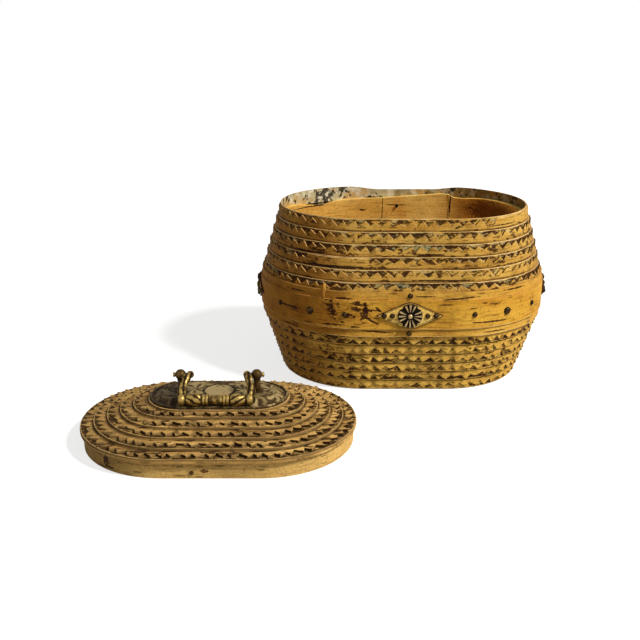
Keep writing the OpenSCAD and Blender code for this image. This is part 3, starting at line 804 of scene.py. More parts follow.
    def shaded_behind(self, pad: FinishPad, row_place: Socket, drop: Socket, colour: Socket,
                      tint: Socket) -> Socket:
        """Darkens the part of a plain sheet that shows between the teeth, more on the dark rows, with bark
        stains and painted shade in the recess.

        Args:
            pad: The finish's nodes.
            row_place: Coordinates that differ from row to row.
            drop: Way from the sheet's edge.
            colour: Colour so far.
            tint: Colour of the stain.

        Returns:
            The new colour.
        """
        shade = pad.reading("row_shade")
        # Soot mask: stains of the bark together with painted shade in the recess between the teeth.
        cloud = pad.noise(row_place, 42.0, 4, 0.65)
        flecks = pad.noise(row_place, 190.0, 3, 0.7)
        soot = pad.add(cloud, pad.times(shade, 0.46), pad.times(pad.less(flecks, 0.5), 0.75))
        soot = pad.spread(soot, 0.72, 0.8, smooth=True)
        patch = pad.blotches(row_place, 120.0, 0.57, 0.04)
        bare = pad.times(patch, pad.spread(shade, 0.2, 0.8, 0.15, 0.6))
        pale = pad.blend(bare, colour, self.outer_bark)
        back = pad.spread(drop, self.dark_from, self.dark_from + 0.5 * MM, smooth=True)
        near = pad.blend(back, colour, pale)
        return pad.blend(pad.times(soot, back, pad.less(1.0, pad.times(patch, 0.7)), 0.93), near, tint)

    def inside(self, pad: FinishPad, colour: Socket) -> Socket:
        """Gives the inner face the pale, speckled look of the outer bark.

        Args:
            pad: The finish's nodes.
            colour: Colour so far.

        Returns:
            The new colour.
        """
        way = pad.add(pad.split(pad.body)[0],
                      pad.times(pad.less(pad.noise(pad.body, 45.0, 4, 0.6), 0.5), 0.22))
        shore = pad.spread(way, -0.035, 0.05, smooth=True)
        bark = pad.blend(shore, self.inside_pale, self.inside_deep)
        white = pad.times(pad.blotches(pad.body, 130.0, 0.52, 0.05), pad.spread(shore, 1, 0, 0.25, 0.8))
        bark = pad.blend(white, bark, light_of(220, 212, 184))
        level = pad.spread(pad.noise(pad.body, 28.0, 2), 0.42, 0.58, 0.64, 0.51)
        stains = pad.blotches(pad.body, 60.0, 0.56, 0.05)
        specks = pad.blotches(pad.body, 150.0, level, 0.03)
        bark = pad.blend(pad.times(stains, 0.6), bark, self.deep)
        bark = pad.blend(pad.times(specks, 0.9), bark, self.soot)
        return pad.blend(pad.reading("inner_face"), colour, bark)

    def last_touch(self, pad: FinishPad, colour: Socket) -> Socket:
        """The colour as it is; a finish with an outline of its own adds it here."""
        return colour


@dataclass(frozen=True)
class LozengeFinish(BarkFinish):
    """The pale bark of the lozenges, with painted shade in its groove, a painted highlight on its lip and a
    painted shadow along its outline.
    """

    def last_touch(self, pad: FinishPad, colour: Socket) -> Socket:
        """Paints shade in the groove, a highlight on the lip and a shadow along the outline.

        Args:
            pad: The finish's nodes.
            colour: Colour so far.

        Returns:
            The new colour.
        """
        lip = pad.reading("lip")
        # Painted shade in the groove, a painted highlight on the lip and a painted shadow down the outline's
        # side wall.
        groove = pad.times(pad.spread(lip, 0.855, 0.885, smooth=True),
                           pad.spread(lip, 0.935, 0.91, smooth=True))
        colour = pad.blend(pad.times(groove, 0.7), colour, self.dark)
        colour = pad.blend(pad.times(pad.spread(lip, 0.93, 0.96), 0.4), colour, self.edge)
        return pad.blend(pad.spread(lip, 0.95, 0.965), colour, self.dark)


@dataclass(frozen=True)
class MetalFinish:
    """The look of old pressed or cast metal."""

    name: str
    bright: Colour
    dull: Colour
    hollow: Colour
    metallic: float = 0.85
    roughness: float = 0.36
    patchiness: float = 0.5
    plain_height: float | None = None
    tarnish_from: float | None = None

    def build(self, effects: Effects) -> bpy.types.Material:
        """Makes the material.

        Args:
            effects: The shared shader groups.

        Returns:
            The finished material.
        """
        pad = FinishPad(self.name, effects)
        height = self.plain_height
        if height is None:
            height = pad.reading("proud")
        feeds = {"Vector": pad.body, "Height": height, "Patchiness": self.patchiness}
        rubbed, scratch = pad.effect(effects.rubbed, feeds)
        colour = pad.blend(rubbed, self.dull, self.bright)
        if self.plain_height is None:
            colour = pad.blend(pad.spread(height, 0.38, 0.05, smooth=True), colour, self.hollow)
        # Painted shade: the metal darkens towards its left end, left of this x.
        if self.tarnish_from is not None:
            cloud = pad.times(pad.less(pad.noise(pad.body, 60.0, 3), 0.5), 0.05)
            way = pad.add(pad.split(pad.body)[0], cloud)
            left_shade = pad.spread(way, self.tarnish_from, self.tarnish_from - 0.02, smooth=True)
            colour = pad.blend(pad.times(left_shade, 0.8), colour, self.hollow)
        shine = pad.spread(rubbed, 0, 1, self.metallic - 0.25, self.metallic)
        pad.feed(pad.shader.inputs["Metallic"], shine)
        pad.shader.inputs["Specular Tint"].default_value = (0.6, 0.48, 0.34, 1)
        roughness = pad.spread(rubbed, 0, 1, self.roughness + 0.25, self.roughness)
        return pad.finish(colour, roughness, scratch, 0.12 * MM, 0.5, 0.3)


# The sheet that every course, belt layer and ring is cut from


@dataclass(frozen=True)
class SheetCut:
    """Sizes of one bark sheet that is swept round the oval, in metres.

    The drop is the way from the sheet's edge over its outer face. Lean and climb say how far
    that face moves out and up for each metre of drop.
    """

    edge_radius: float
    edge_height: float
    run: float
    lean: float
    climb: float
    thick_radius: float = 0.0
    thick_height: float = 0.0
    teeth: int = 0
    tooth_depth: float = 0.0
    margin: float = 0.0
    edge_noise: float = 0.5 * MM
    end_noise: float = 0.0
    wobble: float = 0.35 * MM
    lift: float = 0.0
    bare_from: float = 2.0
    bare_to: float = 2.0
    dip: float = 0.0
    dip_at: float = 0.0
    dip_width: float = 0.09
    row_shade: float = 0.5
    row_seed: int = 0
    columns: int = 288
    rows: int = 4
    row_power: float = 1.0
    closed_middle: bool = False
    straight: float = STRAIGHT
    centre_x: float = 0.0
    centre_y: float = 0.0


class SheetTree:
    """The geometry tree that sweeps a bark sheet round the oval and cuts its teeth."""

    def __init__(self) -> None:
        """Builds the tree, with one input for each field of SheetCut."""
        fields = vars(SheetCut(0.1, 0.1, 0.01, 0.0, 0.0))
        inputs = {"Geometry": Plug.GEOMETRY, **fields, "material": Plug.MATERIAL}
        self.pad, take, self.sink = open_group("bark_sheet", inputs, ("Geometry",), Plug.GEOMETRY)
        self.size = SimpleNamespace(**take)
        self.tree = self.pad.tree
        self.tree.is_modifier = True
        self.lay_out()

    def chance(self, index: Socket, key: float) -> Socket:
        """A steady random number for a tooth.

        Args:
            index: The tooth's number.
            key: Tells one random number of a tooth from another.

        Returns:
            A number from 0 to 1.
        """
        pad = self.pad
        place = pad.join(pad.add(index, 0.5), pad.add(pad.times(self.size.row_seed, 3.1), key), 0)
        return pad.put("ShaderNodeTexWhiteNoise", {"Vector": place}, noise_dimensions="2D").outputs[0]

    def length(self) -> Socket:
        """Way round the sheet's edge."""
        ends = self.pad.times(self.size.edge_radius, 2 * math.pi)
        return self.pad.add(self.pad.times(self.size.straight, 2.0), ends)

    def spot(self, share: Socket, radius: Value) -> tuple[Socket, Socket]:
        """Plan position on the oval, before the centre is added.

        Args:
            share: Share of the way round.
            radius: End radius.

        Returns:
            The x and the y.
        """
        pad, straight = self.pad, self.size.straight
        total = self.length()
        half = pad.over(pad.times(straight, 0.5), total)
        bend = pad.over(pad.times(self.size.edge_radius, math.pi), total)
        second = pad.add(half, bend)
        third = pad.add(second, pad.times(half, 2.0))
        fourth = pad.add(third, bend)
        bends = pad.add(0.5, pad.spread(share, half, second), pad.spread(share, third, fourth))
        turn = pad.times(bends, math.pi)
        back_left = pad.spread(share, 0.0, half, 0.0, 0.5)
        front = pad.spread(share, second, third)
        back_right = pad.spread(share, fourth, 1.0, 0.0, 0.5)
        x = pad.times(pad.less(front, pad.add(back_left, back_right)), straight)
        return (
            pad.add(x, pad.times(pad.math("COSINE", turn), radius)),
            pad.times(pad.math("SINE", turn), radius),
        )

    def lay_out(self) -> None:
        """Lays out the nodes from the flat grid to the finished sheet."""
        pad, size = self.pad, self.size
        rows = size.rows
        spans = pad.add(pad.times(rows, 2.0), 2.0)
        grid = pad.put("GeometryNodeMeshGrid", {
            "Size X": 1.0, "Size Y": 1.0, "Vertices X": pad.add(size.columns, 1.0),
            "Vertices Y": pad.add(spans, 1.0),
        })
        x, y, _ = pad.split(pad.put("GeometryNodeInputPosition").outputs[0])
        around = pad.add(x, 0.5)
        line = pad.times(pad.add(y, 0.5), spans)
        row = pad.math("ROUND", line)
        below = pad.math("LESS_THAN", row, pad.add(rows, 0.5))
        inner = pad.times(pad.less(1.0, below), pad.math("LESS_THAN", row, pad.less(spans, 0.5)))
        back_count = pad.over(pad.less(pad.less(spans, 1.0), row), rows)
        share_in = pad.add(pad.times(inner, back_count), pad.times(below, pad.over(row, rows)))
        share_in = pad.math("POWER", share_in, size.row_power)

        count = pad.math("MAXIMUM", size.teeth, 1.0)
        toothed = pad.math("MINIMUM", size.teeth, 1.0)
        step = pad.times(around, size.teeth)
        tip = pad.less(1.0, pad.math("ABSOLUTE", pad.less(pad.times(pad.math("FRACT", step), 2.0), 1.0)))
        tip_index = pad.math("MODULO", pad.math("FLOOR", step), count)
        notch_index = pad.math("MODULO", pad.math("FLOOR", pad.add(step, 0.5)), count)
        tip_shift = pad.times(pad.less(self.chance(tip_index, 0.1), 0.5), 0.42, tip)
        notch_shift = pad.times(pad.less(self.chance(notch_index, 0.2), 0.5), 0.26, pad.less(1.0, tip))
        shift = pad.over(pad.add(tip_shift, notch_shift), count)
        moved = pad.add(around, pad.times(shift, pad.less(1.0, share_in), toothed))
        wrapped = pad.math("FRACT", moved)
        edge_x, edge_y = self.spot(wrapped, size.edge_radius)
        edge_spot = pad.join(edge_x, edge_y, pad.times(size.row_seed, 0.31))
        fray = pad.add(pad.noise(edge_spot, 22.0, 2), pad.times(pad.noise(edge_spot, 190.0, 3, 0.6), 0.55))
        fray = pad.times(fray, size.edge_noise)
        from_dip = pad.less(pad.math("FRACT", pad.add(pad.less(around, size.dip_at), 1.5)), 0.5)
        from_dip = pad.math("ABSOLUTE", from_dip)
        sunk = pad.spread(from_dip, size.dip_width, pad.times(size.dip_width, 0.45), smooth=True)
        fray = pad.add(fray, pad.times(sunk, size.dip))

        broken = pad.math("GREATER_THAN", self.chance(tip_index, 0.3), 0.93)
        blunt = pad.add(pad.times(self.chance(tip_index, 0.4), 0.2), pad.times(broken, 0.4))
        blunt = pad.times(size.tooth_depth, tip, blunt)
        sharp = pad.math("MINIMUM", pad.times(tip, 1.06), 1.0)
        uneven = pad.spread(self.chance(notch_index, 0.5), 0, 1, 0.7, 1.1)
        notch = pad.times(size.tooth_depth, pad.less(1.0, sharp), uneven)
        past = pad.math("GREATER_THAN", around, size.bare_from)
        kept = pad.less(1.0, pad.times(past, pad.math("LESS_THAN", around, size.bare_to)))
        edge = pad.add(size.margin, pad.times(pad.add(notch, blunt), kept), fray)
        end = pad.less(size.run, pad.times(pad.noise(edge_spot, 31.0, 3), size.end_noise))
        way = pad.times(share_in, pad.less(end, edge))
        drop = pad.add(edge, way)

        radius = pad.add(size.edge_radius, pad.times(size.lean, drop))
        height = pad.add(size.edge_height, pad.times(size.climb, drop))
        flat_x, flat_y = self.spot(wrapped, radius)
        spot = pad.join(flat_x, flat_y, height)
        slow = pad.times(pad.less(pad.noise(spot, 9.0, 1), 0.5), 2.0)
        sway = pad.add(slow, pad.times(pad.less(pad.noise(spot, 34.0, 1), 0.5), 0.6))
        roots = pad.add(size.margin, pad.times(size.tooth_depth, 1.3))
        tooth_zone = pad.spread(drop, size.margin, roots, 1.0, 0.0)
        stand = pad.add(0.35, pad.times(tip, pad.spread(self.chance(tip_index, 0.6), 0, 1, 0.15, 1.1)))
        curl = pad.times(size.lift, stand, tooth_zone, kept, toothed)
        proud = pad.add(pad.times(sway, size.wobble), curl)
        squares = [pad.math("POWER", part, 2.0) for part in (size.thick_radius, size.thick_height)]
        rise = pad.less(inner, pad.over(proud, pad.math("SQRT", pad.add(*squares))))
        final_radius = pad.add(radius, pad.times(rise, size.thick_radius))
        final_height = pad.add(height, pad.times(rise, size.thick_height))
        final_x, final_y = self.spot(wrapped, final_radius)
        place = pad.join(pad.add(final_x, size.centre_x), pad.add(final_y, size.centre_y), final_height)

        sheet = self.closed_off(grid.outputs["Mesh"], line)
        face_row = pad.math("FLOOR", line)
        sheet_uv = pad.join(pad.times(pad.less(moved, 0.5), self.length()), drop, 0)
        sheet = self.keep(sheet, "bark_uv", sheet_uv, "CORNER", "FLOAT2")
        sheet = self.keep(sheet, "from_edge", way, "POINT")
        sheet = self.keep(sheet, "row_shade", size.row_shade)
        sheet = self.keep(sheet, "row_seed", size.row_seed)
        sheet = self.keep(sheet, "tooth_tone", self.chance(pad.math("FLOOR", step), 0.7))
        # The flank left of each tooth's tip, which the finish paints with shade as if lit from the right.
        shady = pad.times(toothed, pad.math("LESS_THAN", pad.math("FRACT", step), 0.5), kept)
        sheet = self.keep(sheet, "grimy_flank", shady)
        inner_row = pad.math("GREATER_THAN", face_row, pad.add(rows, 0.5))
        inner_row = pad.times(inner_row, pad.math("LESS_THAN", face_row, pad.less(spans, 1.5)))
        sheet = self.keep(sheet, "inner_face", inner_row)
        cut_row = pad.math("COMPARE", face_row, pad.less(spans, 1.0), 0.2)
        cut_row = pad.math("MAXIMUM", pad.math("COMPARE", face_row, rows, 0.2), cut_row)
        sheet = self.keep(sheet, "cut_edge", cut_row)
        sheet = pad.put("GeometryNodeSetPosition", {"Geometry": sheet, "Position": place}).outputs[0]
        sheet = pad.put("GeometryNodeMergeByDistance", {"Geometry": sheet, "Distance": 2e-6}).outputs[0]
        sheet = pad.put("GeometryNodeRealizeInstances", {"Geometry": sheet}).outputs[0]
        sheet = pad.put("GeometryNodeSetMaterial", {"Geometry": sheet, "Material": size.material}).outputs[0]
        pad.feed(self.sink.inputs["Geometry"], sheet)

    def closed_off(self, sheet: Socket, line: Socket) -> Socket:
        """Takes away the wall at the end of the run where the sheet closes in its middle.

        Args:
            sheet: The flat grid.
            line: Row position of each face.

        Returns:
            The grid without that wall.
        """
        at_end = self.pad.math("COMPARE", line, self.pad.add(self.size.rows, 0.5), 0.2)
        both = {0: at_end, 1: self.size.closed_middle}
        chosen = self.pad.put("FunctionNodeBooleanMath", both, operation="AND").outputs[0]
        feeds = {"Geometry": sheet, "Selection": chosen}
        return self.pad.put("GeometryNodeDeleteGeometry", feeds, domain="FACE").outputs[0]

    def keep(self, sheet: Socket, name: str, value: Socket, domain: str = "FACE",
             kind: str = "FLOAT") -> Socket:
        """Stores a named attribute on the sheet.

        Args:
            sheet: The sheet so far.
            name: The attribute's name.
            value: What is stored.
            domain: What it is stored on.
            kind: Its data type.

        Returns:
            The sheet with the attribute.
        """
        node = self.pad.put("GeometryNodeStoreNamedAttribute", {"Geometry": sheet, "Name": name},
                            data_type=kind, domain=domain)
        self.pad.feed(node.inputs["Value"], value)
        return node.outputs[0]

    def grow(self, name: str, cut: SheetCut, material: bpy.types.Material) -> bpy.types.Object:
        """The finished piece of that name, with those sizes and that finish."""
        return grown_object(name, self.tree, vars(cut) | {"material": material}, sharp_degrees=38)


class StudTree:
    """The geometry tree that sets one turned head at each of a list of places."""

    def __init__(self) -> None:
        """Builds the tree."""
        inputs = {"Geometry": Plug.GEOMETRY, "Head": Plug.OBJECT, "Tilt": 0.06, "Spin": math.pi, "Seed": 1,
                  "Material": Plug.MATERIAL}
        pad, take, sink = open_group("set_studs", inputs, ("Geometry",), Plug.GEOMETRY)
        head = pad.put("GeometryNodeObjectInfo", {"Object": take["Head"]})
        facing = pad.put("GeometryNodeInputNamedAttribute", {"Name": "facing"}, data_type="FLOAT_VECTOR")
        turn = pad.put("FunctionNodeAlignRotationToVector", {"Vector": facing.outputs[0]}, axis="Z")
        tilt = pad.times(take["Tilt"], -1.0)
        low = pad.join(tilt, tilt, pad.times(take["Spin"], -1.0))
        high = pad.join(take["Tilt"], take["Tilt"], take["Spin"])
        feeds = {0: low, 1: high, "Seed": take["Seed"]}
        lean = pad.put("FunctionNodeRandomValue", feeds, data_type="FLOAT_VECTOR").outputs[0]
        studs = pad.put("GeometryNodeInstanceOnPoints", {
            "Points": take["Geometry"], "Instance": head.outputs["Geometry"], "Rotation": turn.outputs[0],
        }).outputs[0]
        studs = pad.put("GeometryNodeRotateInstances", {"Instances": studs, "Rotation": lean}).outputs[0]
        studs = pad.put("GeometryNodeRealizeInstances", {"Geometry": studs}).outputs[0]
        feeds = {"Geometry": studs, "Material": take["Material"]}
        pad.feed(sink.inputs["Geometry"], pad.put("GeometryNodeSetMaterial", feeds).outputs[0])
        self.tree = pad.tree
        self.tree.is_modifier = True

    def grow(self, name: str, head: bpy.types.Object, places: list[Seat], material: bpy.types.Material,
             tilt: float, spin: float = math.pi) -> bpy.types.Object:
        """Sets the heads and takes their pattern away.

        Args:
            name: The piece's name.
            head: The turned head, standing on the origin along Z.
            places: Foot and outward direction of each head.
            material: Their finish.
            tilt: The most that a head leans.
            spin: The most that a head is turned on its own axis.

        Returns:
            The finished piece.
        """
        feet = bpy.data.meshes.new(name + "_places")
        feet.from_pydata([tuple(foot) for foot, _ in places], [], [])
        layer = feet.attributes.new("facing", "FLOAT_VECTOR", "POINT")
        layer.data.foreach_set("vector", [part for _, facing in places for part in facing])
        values = {"Head": head, "Tilt": tilt, "Spin": spin, "Seed": 4, "Material": material}
        made = grown_object(name, self.tree, values, 50, feet)
        bpy.data.objects.remove(head)
        return made


# The box


@dataclass(frozen=True)
class Kit:
    """What every sub-assembly builds with."""

    sheets: SheetTree
    studs: StudTree
    finishes: dict[str, bpy.types.Material]


@dataclass
class SubAssembly:
    """A part of the object that is built with the shared kit."""

    kit: Kit

    def sweep(self, node: str, cut: SheetCut, slot: str, body: Body = Body.BOX) -> None:
        """Makes the sheet that stands for a node, with those sizes, that finish and that body."""
        settle(self.kit.sheets.grow(f"{node}_bark", cut, self.kit.finishes[slot]), body, slot, node)


@dataclass
class CourseWall(SubAssembly):
    """Six courses of notched bark, laid on one another from an edge of the body to its belt."""

    half: str
    facing: Facing
    row_shades: tuple[float, ...]
    bare: dict[int, tuple[float, float]] = field(default_factory=dict)
    rim_dip: float = 0.0
    dip_at_x: float = 10 * MM
    lap: float = 4 * MM
    sheet_thick: float = 1 * MM
    margin: float = 1.2 * MM
    tooth_pitch: float = 10.3 * MM
    tooth_depth: float = 5.6 * MM
    lift: float = 0.6 * MM

    def build(self) -> None:
        """Makes the plain and the toothed sheet of each course, at the sizes of the first two."""
        first, second = (f"{self.half}_plain_sheet_{course}" for course in (1, 2))
        top = self.edge_of(first)
        pitch, zone = (abs(top - self.edge_of(node)) for node in (second, "wide_strip"))
        slope = (half_depth(second) - half_depth(first) - 2 * self.sheet_thick) / pitch
        edge_radius = half_depth(first) - slope * (pitch + self.lap)
        for course, shade in enumerate(self.row_shades, start=1):
            face = edge_radius + (course - 1) * (slope * pitch + 2 * self.sheet_thick)
            start = (course - 1) * pitch
            way = self.facing.value
            plain = SheetCut(
                edge_radius=face, edge_height=top - way * start, lean=slope, climb=-float(way),
                run=(zone - start if course == len(self.row_shades) else pitch) + self.lap,
                thick_radius=-self.sheet_thick, row_shade=shade, row_seed=course + 10 * way,
                edge_noise=(0.5 if course == 1 else 0.95) * MM, wobble=0.3 * MM,
                dip=self.rim_dip if course == 1 else 0.0, dip_at=1 - self.dip_at_x / Oval().length(face),
            )
            self.sweep(f"{self.half}_plain_sheet_{course}", plain, f"{self.half}_plain_bark")
            toothed = self.toothed(plain, course)
            self.sweep(f"{self.half}_toothed_sheet_{course}", toothed, f"{self.half}_toothed_bark")

    def edge_of(self, node: str) -> float:
        """Height of a node on the side where its half of the body has its own edge."""
        low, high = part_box(node)
        return high.z if self.facing is Facing.UP else low.z

    def toothed(self, plain: SheetCut, course: int) -> SheetCut:
        """The toothed sheet that lies on a plain one.

        Args:
            plain: The plain sheet's sizes.
            course: The course's number from the body's edge.

        Returns:
            The toothed sheet's sizes.
        """
        way = Oval().length(plain.edge_radius)
        teeth = round(way / self.tooth_pitch)
        low, high = self.bare.get(course, (way, way))
        return replace(
            plain, edge_radius=plain.edge_radius + self.sheet_thick, lift=self.lift, margin=self.margin,
            thick_radius=-(self.sheet_thick + 0.05 * MM), edge_noise=0.35 * MM, row_seed=plain.row_seed + 3,
            teeth=teeth, tooth_depth=self.tooth_depth, columns=teeth * 8, rows=5,
            bare_from=0.5 + low / way, bare_to=0.5 + high / way,
        )


@dataclass
class Belt(SubAssembly):
    """The wide strip, the middle band, and the lozenges, rosettes and tacks on them."""

    strip_thick: float = 1.5 * MM
    bite: float = 0.1 * MM
    lozenge_half_length: float = 30.5 * MM
    rosette_size: float = 1.04
    tack_diameter: float = 5 * MM
    large_tack_diameter: float = 7.2 * MM
    tack_outs: tuple[float, float] = (16.0 * MM, 23.5 * MM)
    tack_turns: tuple[float, float] = (38, 78)
    large_tack_turn: float = 59
    strip_radius: float = field(init=False)
    band_radius: float = field(init=False)
    seat_radius: float = field(init=False)
    middle: float = field(init=False)

    def __post_init__(self) -> None:
        """Takes the end radii of the faces and the height of the middle from the frame."""
        self.strip_radius = half_depth("wide_strip")
        self.band_radius = half_depth("middle_band")
        self.seat_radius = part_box("lozenge_back")[1].y - self.bite
        low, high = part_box("middle_band")
        self.middle = (low.z + high.z) / 2

    def build(self) -> None:
        """Makes every layer of the belt."""
        low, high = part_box("wide_strip")
        strip = SheetCut(
            edge_radius=self.strip_radius, edge_height=low.z, run=high.z - low.z, lean=0.0, climb=1.0,
            thick_radius=-self.strip_thick, edge_noise=0.9 * MM, end_noise=1.0 * MM, wobble=0.12 * MM,
            row_seed=41, rows=8,
        )
        self.sweep("wide_strip", strip, "strip_bark")
        low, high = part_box("middle_band")
        inner = self.strip_radius - self.bite
        band = replace(
            strip, edge_radius=self.band_radius, edge_height=low.z, run=high.z - low.z,
            thick_radius=inner - self.band_radius, edge_noise=0.7 * MM, end_noise=0.7 * MM, row_seed=47,
        )
        self.sweep("middle_band", band, "band_bark")
        for side in Side:
            self.add_lozenge(side)
        self.add_rosettes()
        self.add_tacks()
        self.add_sliver()

    def on_belt(self, side: Side, along: float, up: float, radius: float) -> Seat:
        """A place on the belt and its outward direction.

        Args:
            side: The middle that it is counted from.
            along: Way round the belt from there.
            up: Height above the belt's middle.
            radius: End radius of the face.

        Returns:
            The place and the direction.
        """
        base = math.radians(side.value)
        ends = side in (Side.LEFT, Side.RIGHT)
        turn = base + (along / self.band_radius if ends else 0)
        facing = Vector((math.cos(turn), math.sin(turn), 0))
        start = Vector((math.cos(base), math.sin(base), 0)) * (STRAIGHT / 2 if ends else 0)
        slide = Vector((-math.sin(base), math.cos(base), 0)) * (0 if ends else along)
        return start + slide + facing * radius + Vector((0, 0, self.middle + up)), facing

    def add_lozenge(self, side: Side) -> None:
        """Makes one lozenge: a thin plate with a groove and a lip along its outline.

        Args:
            side: Where on the belt it lies.
        """
        node = f"lozenge_{side.name.lower()}"
        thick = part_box("lozenge_back")[1].y - self.band_radius
        reach = [0.0, 0.2, 0.4, 0.6, 0.8, 0.86, 0.885, 0.91, 0.93, 0.97, 0.995, 1.0, 1.0, 0.0]
        height = [1.0, 1.0, 1.0, 1.0, 0.98, 0.96, 0.72, 0.72, 0.98, 1.0, 0.85, -0.04, -0.04, -0.04]
        rim = self.lozenge_rim()
        points, uv, lip = [], [], []
        for share, high in zip(reach, height):
            for along, up in rim * share:
                bow = 0.12 * MM * math.sin(along * 95 + side.value) * (high > 0)
                points.append(self.on_belt(side, along, up, self.band_radius + high * thick + bow)[0])
                uv.append((along, up))
                lip.append(share if high > 0 else 1.0)
        piece = mesh_object(f"{node}_bark", np.array(points), ring_faces(len(reach), len(rim)),
                            self.kit.finishes["lozenge_bark"], 35, np.array(uv), {"lip": np.array(lip)})
        settle(piece, Body.BOX, "lozenge_bark", node)

    def lozenge_rim(self) -> np.ndarray:
        """Outline of a lozenge: two pointed ends that run into a round middle.

        Returns:
            The outline's points, way along the belt and way up.
        """
        low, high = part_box("lozenge_front")
        half, middle = self.lozenge_half_length, (high.z - low.z) / 2
        touch = math.acos(middle / half)
        way = np.linspace(0, 1, 13)[:-1, None]
        tip, meet = np.array([half, 0.0]), middle * np.array([math.cos(touch), math.sin(touch)])
        turn = np.linspace(touch, math.pi - touch, 10)[:-1]
        arc = middle * np.stack([np.cos(turn), np.sin(turn)], -1)
        upper = np.concatenate([tip * (1 - way) + meet * way, arc, (meet * (1 - way) + tip * way) * [-1, 1]])
        return np.concatenate([upper, -upper])

    def add_sliver(self) -> None:
        """Makes the sliver of bark that has sprung up over the strip's top edge, left of the front."""
        facing_at, half_wide, half_high = math.radians(270 - 23.3), 2.3 * MM, 7 * MM
        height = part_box("wide_strip")[1].z - 1 * MM
        rows, columns = 13, 7
        side = rows * columns
        levels, across_steps = np.linspace(-1, 1, rows), np.linspace(-1, 1, columns)
        points = []
        for inward in (0.0, 0.5 * MM):
            for level in levels:
                crown = max(0.0, 1 - level * level)
                wide = half_wide * math.sqrt(crown) * (1 + 0.12 * math.sin(level * 6)) + 0.05 * MM
                for across in across_steps:
                    out = self.strip_radius + (1.5 + 1.3 * crown - 0.7 * across * across) * MM - inward
                    turn = facing_at + (across * wide + 0.5 * MM * math.sin(level * 3)) / self.strip_radius
                    x = out * math.cos(turn) - STRAIGHT / 2
                    points.append((x, out * math.sin(turn), height + level * half_high))
        cells = [row * columns + column for row in range(rows - 1) for column in range(columns - 1)]
        around = (0, 1, columns + 1, columns)
        faces = [tuple(cell + step + shift for step in around) for shift in (0, side) for cell in cells]
        rim = [*range(columns), *range(2 * columns - 1, side, columns),
               *range(side - 2, side - columns - 1, -1), *range(side - 2 * columns, 0, -columns)]
        faces += [(a, b, b + side, a + side) for a, b in zip(rim, rim[1:] + rim[:1])]
        places = np.array(points)
        piece = mesh_object("strip_sliver_bark", places, faces, self.kit.finishes["strip_bark"], 60,
                            places[:, [2, 0]] * [1, 2], {"from_edge": np.full(len(places), 0.01)})
        settle(piece, Body.BOX, "strip_bark")

    def rosette_head(self) -> bpy.types.Object:
        """Makes the pressed rosette, with three ridges in each of its four lobes.

        Returns:
            The rosette, standing on the origin along Z.
        """
        radii = np.array(
            [0, 1.0, 1.8, 2.3, 2.5, 2.8, 3.2, 3.7, 4.4, 5.4, 6.6, 7.8, 8.8, 9.5, 10, 10.4, 10.75]
        )
        rise = np.array([3.35, 3.2, 2.65, 1.9, 1, 0.7, 0.65, 0.7, 0.75, 0.8, *[0.85] * 4, 0.8, 0.7, 0.3])
        steps = 144
        turn = np.arange(steps) * 2 * math.pi / steps
        quarter = (turn + math.pi / 4) % (math.pi / 2) - math.pi / 4
        step = math.radians(24)
        ridge_at = np.clip(np.round(quarter / step), -1, 1) * step
        ridge = np.clip(np.cos((quarter - ridge_at) / step * math.pi), 0, 1) ** 0.8
        reach = np.interp(radii, [2.8, 3.6, 8.6, 10.0, 10.5], [0, 0.6, 1.5, 1.3, 0.3])
        high = rise[:, None] + reach[:, None] * ridge
        parting = np.clip((np.abs(quarter) - math.radians(34)) / math.radians(11), 0, 1)
        spread = radii[:, None] * (1 - 0.13 * np.clip((radii[:, None] - 7.8) / 2.6, 0, 1) * parting)
        spread = np.concatenate([spread, np.full((1, steps), 9.2), np.zeros((1, steps))])
        high = np.concatenate([high, np.zeros((2, steps))])
        points = np.stack([spread * np.cos(turn), spread * np.sin(turn), high], -1).reshape(-1, 3)
        crest = np.clip(reach[:, None] / 1.1, 0, 1) * ridge ** 4
        crest = np.maximum(crest, np.clip(rise[:, None] - 1.6, 0, 0.9))
        proud = np.concatenate([crest.ravel(), np.zeros(2 * steps)])
        return mesh_object("rosette_head", points * MM * [self.rosette_size, self.rosette_size, 1],
                           ring_faces(len(radii) + 2, steps), self.kit.finishes["rosette_metal"], 60,
                           marks={"proud": proud})

    def add_rosettes(self) -> None:
        """Sets the four rosettes on the lozenges."""
        places = [self.on_belt(side, 0, 0, self.seat_radius) for side in Side]
        metal = self.kit.finishes["rosette_metal"]
        piece = self.kit.studs.grow("rosettes_pressed", self.rosette_head(), places, metal, 0.02, 0.0)
        settle(piece, Body.BOX, "rosette_metal", "rosettes")

    def tack_head(self, diameter: float) -> bpy.types.Object:
        """Makes one domed tack with its shank.

        Args:
            diameter: The head's diameter.

        Returns:
            The tack, with the underside of its head on the origin.
        """
        steps = np.linspace(0, math.pi / 2, 7)
        dome = [(math.sin(step) * diameter / 2, math.cos(step) * diameter * 0.42) for step in steps]
        shank = [(0.8 * MM, -0.05 * MM), (0.8 * MM, -2.2 * MM), (0.0, -2.6 * MM)]
        points, faces = turned(dome + [(diameter / 2 * 0.97, -0.15 * MM)] + shank, 20)
        proud = np.clip(points[:, 2] / (diameter * 0.42), 0, 1) * 0.55 + 0.1
        return mesh_object("tack_head", points, faces, self.kit.finishes["tack_metal"], 60,
                           marks={"proud": proud})

    def on_ends(self, degrees: float) -> list[Seat]:
        """The four places on the round ends of the band, turned by an angle from the end's middle.

        Args:
            degrees: The angle.

        Returns:
            Each place and its outward direction.
        """
        turn, found = math.radians(degrees), []
        for end in (1, -1):
            middle = Vector((end * STRAIGHT / 2, 0, self.middle))
            for way in (1, -1):
                facing = Vector((end * math.cos(turn), way * math.sin(turn), 0))
                found.append((facing * self.band_radius + middle, facing))
        return found

